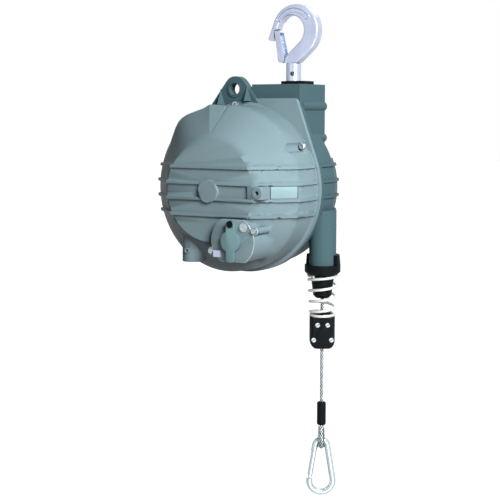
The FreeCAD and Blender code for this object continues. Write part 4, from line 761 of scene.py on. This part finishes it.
class BALANCER_OT_screws(bpy.types.Operator):
    """Bright slotted heads on the rope clamp"""
    bl_idname = "balancer.screws"
    bl_label = "Clamp screws"

    def execute(self, context):
        screw = context.scene.balancer_screw
        top, face = DRUM_AXIS.z - CLAMP_TOP, -0.0152
        turn = Matrix.Translation(ROPE_LINE) @ ROPE_TURN
        places = [turn @ Vector((x, face, top - drop)) for x, drop in (
            (-0.008, 0.012), (0.008, 0.012), (-0.014, 0.036), (0.014, 0.036))]
        facing = Euler((math.pi / 2, 0, 0)).to_matrix()
        slots = Matrix.Rotation(math.radians(35), 3, "Z")
        facing = (ROPE_TURN.to_3x3() @ facing @ slots).to_euler()
        # the slot floors take the dark finish: painted shade seen through the slots
        shade_floors = repeated("ClampScrewSlots", places, slot_shade_floor_mesh(screw), facing,
                          "dark_steel")
        add_piece("ClampScrewSlots", shade_floors, "rope_end", "fasteners")
        heads = repeated("ClampScrewHeads", places, head_mesh(screw), facing, "screw_steel")
        add_piece("ClampScrewHeads", heads, "rope_end", "fasteners",
                  replaces=("clamp_screws",))
        return {"FINISHED"}


def turned_form(name, profile, sides=144):
    """A helper solid turned about the drum axis, from (depth, radius) corners."""
    build = ([], [])
    add_tube(build, [[about_drum(a, r, y) for a in full_turn(sides)] for y, r in profile])
    return holder_of(name, built_mesh(name, build))


def prism(name, outline, near, far):
    """A helper solid between two depths, from (x, z) corners about the drum axis."""
    build = ([], [])
    add_tube(build, [[DRUM_AXIS + Vector((x, y, z)) for x, z in outline]
                     for y in (near, far)])
    return holder_of(name, built_mesh(name, build))


def combine(holder, operation, other):
    """Join, cut or keep the shared part of two solids; the second one goes."""
    change = holder.modifiers.new("Change", "BOOLEAN")
    change.operation, change.object, change.solver = operation, other, "EXACT"
    mesh = plain_copy(holder)
    holder.modifiers.clear()
    holder.data = mesh
    bpy.data.objects.remove(other)


def u_outline(centre, radius, reach):
    """A round-ended channel outline, open toward +X as far as reach."""
    x, z = centre
    arc = [math.radians(a) for a in range(90, 271, 12)]  # the round end faces -X
    return [(x + reach, z - radius), (x + reach, z + radius)] + [
        (x + radius * math.cos(a), z + radius * math.sin(a)) for a in arc]


class BALANCER_OT_cover(bpy.types.Operator):
    """The front cover with its screw channel nearer the rim, and the screw in it"""
    bl_idname = "balancer.cover"
    bl_label = "Front cover"

    def execute(self, context):
        cover = holder_of("CoverShell", merged_copy("front_cover"))
        before, left, right, low, high = -0.12, 0.094, 0.14, 0.054, 0.080
        fill = turned_form("ChannelFill", [(-0.0083, 0.1299), (-0.0586, 0.1287),
                                           (-0.10895, 0.0773)])
        combine(fill, "INTERSECT", prism("FillRoom", [(left, low), (right, low),
                                                      (right, high), (left, high)],
                                         before, -0.005))
        combine(cover, "UNION", fill)
        channel = context.scene.balancer_channel
        centre = (channel.across, channel.height)
        combine(cover, "DIFFERENCE", prism("Channel", u_outline(centre, channel.radius, 0.05),
                                           before, -channel.depth))
        cover.data.materials.clear()
        cover.data.shade_smooth()
        cover.data.set_sharp_from_angle(angle=math.radians(17))
        even = cover.modifiers.new("Even", "WEIGHTED_NORMAL")
        even.keep_sharp, even.weight = True, 100
        made = plain_mesh("CoverShell", cover)
        add_piece("CoverShell", made, "casing", "casing_paint", "cover_paint",
                  replaces=("front_cover",))
        place = Vector((channel.across - 0.0015, -channel.depth - 0.006, channel.height))
        # depth and radius round the head, then down its socket
        head = ((0.0065, 0.0048), (0.0006, 0.0048), (0.0, 0.0042), (0.0, 0.0024),
                (0.0035, 0.0024))
        build = ([], [])
        add_tube(build, [[place + about_drum(a, r, y) for a in full_turn(32)]
                         for y, r in head])
        add_piece("ChannelScrew", built_mesh("ChannelScrew", build), "casing", "fasteners",
                  "screw_steel")
        return {"FINISHED"}


# angle and radius at the shoulder, then angle and radius at the front foot
SHOULDER_ROWS = [
    (90.5, 0.1280, 92.7, 0.0851), (103.6, 0.1342, 92.9, 0.0856), (109.0, 0.1318, 98.0, 0.0858),
    (116.0, 0.1335, 106.0, 0.0862), (123.0, 0.1368, 115.0, 0.0866),
    (127.0, 0.1380, 121.0, 0.0870), (131.0, 0.1378, 127.0, 0.0880),
    (136.0, 0.1348, 134.0, 0.0900), (141.0, 0.1310, 140.0, 0.0930),
    (146.0, 0.1283, 146.0, 0.0960)]


class BALANCER_OT_shoulder(bpy.types.Operator):
    """The raised pad on the cover's upper left, from the ear's foot to the flank boss"""
    bl_idname = "balancer.shoulder"
    bl_label = "Shoulder pad"

    def execute(self, context):
        rings, ridge, hidden = [], -0.0600, 0.124
        for top_angle, top, foot_angle, foot in SHOULDER_ROWS:
            top_angle, foot_angle = math.radians(top_angle), math.radians(foot_angle)
            depth = CONE_FACE[1] + (foot - CONE_FACE[0]) * CONE_FALL
            rim, near = about_drum(top_angle, top, ridge), about_drum(foot_angle, foot, depth)
            rings.append([about_drum(top_angle, top, COVER_BACK), rim, rim.lerp(near, 0.33),
                          rim.lerp(near, 0.67), near,
                          about_drum(foot_angle, foot - 0.004, depth + 0.003),
                          about_drum(top_angle, hidden, ridge + 0.004),
                          about_drum(top_angle, hidden, COVER_BACK)])
        build = ([], [])
        add_tube(build, rings)
        mesh = built_mesh("ShoulderPad", build)
        mesh.shade_smooth()
        mesh.set_sharp_from_angle(angle=math.radians(9))
        add_piece("ShoulderPad", mesh, "casing", "casing_paint", "cover_paint")
        return {"FINISHED"}


class BALANCER_OT_edges(bpy.types.Operator):
    """Rounded edges on the lock's plate and cap and on the black pieces, lighter as painted
    highlight, on the plate and cap also as worn paint
    """
    bl_idname = "balancer.edges"
    bl_label = "Edges"

    def execute(self, context):
        for name, node, body, slot, width, face, edge in EDGED:
            edged_copy(name, node, body, slot, width, face, edge)
        return {"FINISHED"}


EDGED = [
    ("LockPlateShell", "lock_plate", "casing", "bare_casting", 0.0009, "plate_casting",
     "worn_edge"),
    ("LockCapShell", "lock_cap", "casing", "bare_casting", 0.0007, "cover_paint", "worn_edge"),
    ("ClampFrontShell", "clamp_front", "rope_end", "black_plastic", 0.0009, "black_plastic",
     "black_edge"),
    ("ClampRearShell", "clamp_rear", "rope_end", "black_plastic", 0.0009, "black_plastic",
     "black_edge"),
]


class BALANCER_OT_plate(bpy.types.Operator):
    """The bare plate on the cover's cone"""
    bl_idname = "balancer.plate"
    bl_label = "Bare plate"

    def execute(self, context):
        plate = context.scene.balancer_plate
        for name, border, thick, surface in (
                ("BarePlate", 0.0, plate.thick, "label_sheet"),
                # a dark sheet a little wider than the plate, under it: painted shade as a dark
                # line round the plate's edge
                ("BarePlateEdge", 0.0009, 0.6 * plate.thick, "dark_steel")):
            add_piece(name, cone_sheet(name, plate, border, thick), "casing", "casing_paint",
                      surface)
        return {"FINISHED"}


def cone_sheet(name, plate, border, thick):
    """A thin sheet bent round the cover's cone, wider than the plate by a border."""
    (face_radius, face_depth), (shoulder_radius, shoulder_depth) = CONE_FACE, CONE_SHOULDER
    slope = (shoulder_depth - face_depth) / (shoulder_radius - face_radius)
    out = Vector((slope, -1)).normalized()
    rows, columns, sunk, points, faces = 6, 8, -0.001, [], []
    for layer in (thick, sunk):
        for row in range(rows + 1):
            z = (plate.height + 2 * border) * (row / rows - 0.5)
            for column in range(columns + 1):
                reach = (plate.inner - border
                         + (plate.outer - plate.inner + 2 * border) * column / columns)
                depth = face_depth + (reach - face_radius) * slope + out.y * layer
                reach += out.x * layer
                points.append(DRUM_AXIS + Vector((math.sqrt(reach ** 2 - z ** 2), depth, z)))
    wide, sheet = columns + 1, (rows + 1) * (columns + 1)
    for row in range(rows):
        for column in range(columns):
            a = row * wide + column
            faces.append((a, a + 1, a + 1 + wide, a + wide))
            faces.append((a + sheet, a + wide + sheet, a + 1 + wide + sheet, a + 1 + sheet))
    rim = [*range(columns), *(r * wide + columns for r in range(rows)),
           *(rows * wide + c for c in range(columns, 0, -1)),
           *(r * wide for r in range(rows, 0, -1))]
    faces.extend((a, a + sheet, b + sheet, b) for a, b in zip(rim, rim[1:] + rim[:1]))
    return built_mesh(name, (points, faces))


class BALANCER_OT_hook_fields(bpy.types.Operator):
    """Raised rims round the bare fields on both faces of the hook"""
    bl_idname = "balancer.hook_fields"
    bl_label = "Hook fields"

    def execute(self, context):
        centre, inner, outer, face = Vector((0.004, 0, -0.024)), 0.0285, 0.0355, 0.0090
        arc = [math.radians(a) for a in range(35, 151, 5)]
        loop = [(inner, a) for a in arc] + [(outer, a) for a in reversed(arc)]
        for name, side in (("HookFieldFront", -1), ("HookFieldBack", 1)):
            points = [centre + Vector((r * math.cos(a), side * face, r * math.sin(a)))
                      for r, a in loop]
            mesh = plain_mesh(name, line_curve(name, points, closed=True, radius=0.0008,
                                               steps=2))
            mesh.shade_smooth()
            add_piece(name, mesh, "hook", "bright_steel", "zinc_steel")
        return {"FINISHED"}


def background_ray(tree, seen):
    """1 on rays that should find the white background."""
    return math_node(tree, "MAXIMUM", math_node(tree, "MAXIMUM", seen.outputs["Is Camera Ray"],
                                                seen.outputs["Is Glossy Ray"]),
                     seen.outputs["Is Transmission Ray"])


def white_for_rays(tree, usual, white, target):
    """Join two shaders so that camera, glossy and transmission rays find the white one."""
    seen = tree.nodes.new("ShaderNodeLightPath")
    mixed = tree.nodes.new("ShaderNodeMixShader")
    link(tree, (background_ray(tree, seen), mixed.inputs["Fac"]),
         (usual, mixed.inputs[1]), (white, mixed.inputs[2]),
         (mixed.outputs["Shader"], tree.nodes[target].inputs["Surface"]))


def add_camera(setup):
    """The camera, from where it stands, its heading and its pitch."""
    eye = Vector(setup.camera)
    ahead = Vector((-math.sin(setup.heading) * math.cos(setup.pitch),
                    math.cos(setup.heading) * math.cos(setup.pitch), -math.sin(setup.pitch)))
    camera = holder_of("Camera", bpy.data.cameras.new("Camera"))
    camera.data.lens, camera.data.sensor_width = setup.lens, 36
    camera.matrix_world = (Matrix.Translation(eye)
                           @ ahead.to_track_quat("-Z", "Y").to_matrix().to_4x4())
    bpy.context.scene.camera = camera


def add_floor():
    """A pale floor below the end of the run-out rope, which keeps the object's shadow."""
    reach, low = 60, CAD_BOX[0].z - ROPE_RUN - 0.2
    sheet = bpy.data.meshes.new("Floor")
    sheet.from_pydata([(-reach, -reach, low), (reach, -reach, low), (reach, reach, low),
                       (-reach, reach, low)], [], [(0, 1, 2, 3)])
    floor = holder_of("Floor", sheet)
    pale = bpy.data.materials.new("PaleFloor")
    pale.use_nodes = True
    tree = pale.node_tree
    matt = tree.nodes["Principled BSDF"]
    matt.inputs["Base Color"].default_value = (0.85, 0.85, 0.86, 1)
    glow = tree.nodes.new("ShaderNodeEmission")
    glow.inputs["Color"].default_value = (1, 1, 1, 1)
    glow.inputs["Strength"].default_value = 0.95
    both = tree.nodes.new("ShaderNodeAddShader")
    link(tree, (matt.outputs["BSDF"], both.inputs[0]), (glow.outputs["Emission"], both.inputs[1]))
    white_for_rays(tree, matt.outputs["BSDF"], both.outputs["Shader"], "Material Output")
    sheet.materials.append(pale)
    floor.visible_diffuse = False


def add_world(scene):
    """Faint light from all round, in front of a white background."""
    scene.world = bpy.data.worlds.new("Studio")
    scene.world.use_nodes = True
    tree = scene.world.node_tree
    soft = tree.nodes["Background"]
    soft.inputs["Color"].default_value = (0.80, 0.86, 0.92, 1)
    soft.inputs["Strength"].default_value = 0.06
    plain = tree.nodes.new("ShaderNodeBackground")
    plain.inputs["Color"].default_value = (1, 1, 1, 1)
    white_for_rays(tree, soft.outputs["Background"], plain.outputs["Background"],
                   "World Output")


def add_lamps():
    """Soft lamps that face the middle of the object."""
    middle = (CAD_BOX[0] + CAD_BOX[1]) / 2
    for name, place, size, power, tint in LAMPS:
        lamp = bpy.data.lights.new(name, "AREA")
        lamp.size, lamp.energy, lamp.color = size, power, tint
        at = middle + Vector(place)
        holder_of(name, lamp).matrix_world = (
            Matrix.Translation(at)
            @ (middle - at).to_track_quat("-Z", "Y").to_matrix().to_4x4())


class BALANCER_OT_stage(bpy.types.Operator):
    """Camera, floor, backdrop and soft lamps"""
    bl_idname = "balancer.stage"
    bl_label = "Stage"

    def execute(self, context):
        add_camera(context.scene.balancer_stage)
        add_floor()
        add_world(context.scene)
        add_lamps()
        context.scene.view_settings.view_transform = "Standard"
        return {"FINISHED"}


# place from the middle of the object, size, power and colour
LAMPS = [("KeyLamp", (1.55, -0.95, 0.95), 0.8, 105.0, (0.86, 0.95, 1.0)),
         ("FillLamp", (-0.3, -2.1, 0.1), 1.2, 4.0, (0.92, 0.98, 1.0)),
         ("RimLamp", (0.3, 1.2, 1.6), 0.8, 12.0, (0.9, 0.95, 1.0)),
         ("LowLamp", (1.3, -1.0, -0.9), 0.9, 16.0, (1.0, 0.86, 0.88))]


class BALANCER_PT_panel(bpy.types.Panel):
    """Lists the steps that dress the balancer"""
    bl_label = "Spring Tool Balancer"
    bl_space_type = "VIEW_3D"
    bl_region_type = "UI"
    bl_category = "Balancer"

    def draw(self, context):
        column = self.layout.column()
        for step in STEPS:
            column.operator(step.bl_idname)


STEPS = [BALANCER_OT_finishes, BALANCER_OT_stage, BALANCER_OT_rope, BALANCER_OT_eye,
         BALANCER_OT_spring, BALANCER_OT_screws, BALANCER_OT_edges, BALANCER_OT_cover,
         BALANCER_OT_shoulder, BALANCER_OT_plate, BALANCER_OT_hook_fields,
         BALANCER_OT_declare_rope]
GROUPS = {"balancer_finish": FinishSettings, "balancer_rope": RopeSettings,
          "balancer_spring": SpringSettings, "balancer_screw": ScrewSettings,
          "balancer_plate": PlateSettings, "balancer_channel": ChannelSettings,
          "balancer_stage": StageSettings}


def register():
    for item in [*GROUPS.values(), *STEPS, BALANCER_PT_panel]:
        bpy.utils.register_class(item)
    for name, item in GROUPS.items():
        setattr(bpy.types.Scene, name, bpy.props.PointerProperty(type=item))


def unregister():
    for name in GROUPS:
        delattr(bpy.types.Scene, name)
    for item in [BALANCER_PT_panel, *STEPS, *GROUPS.values()]:
        bpy.utils.unregister_class(item)


def main():
    register()
    for step in STEPS:
        group, name = step.bl_idname.split(".")
        getattr(getattr(bpy.ops, group), name)()


if __name__ == "__main__":
    main()
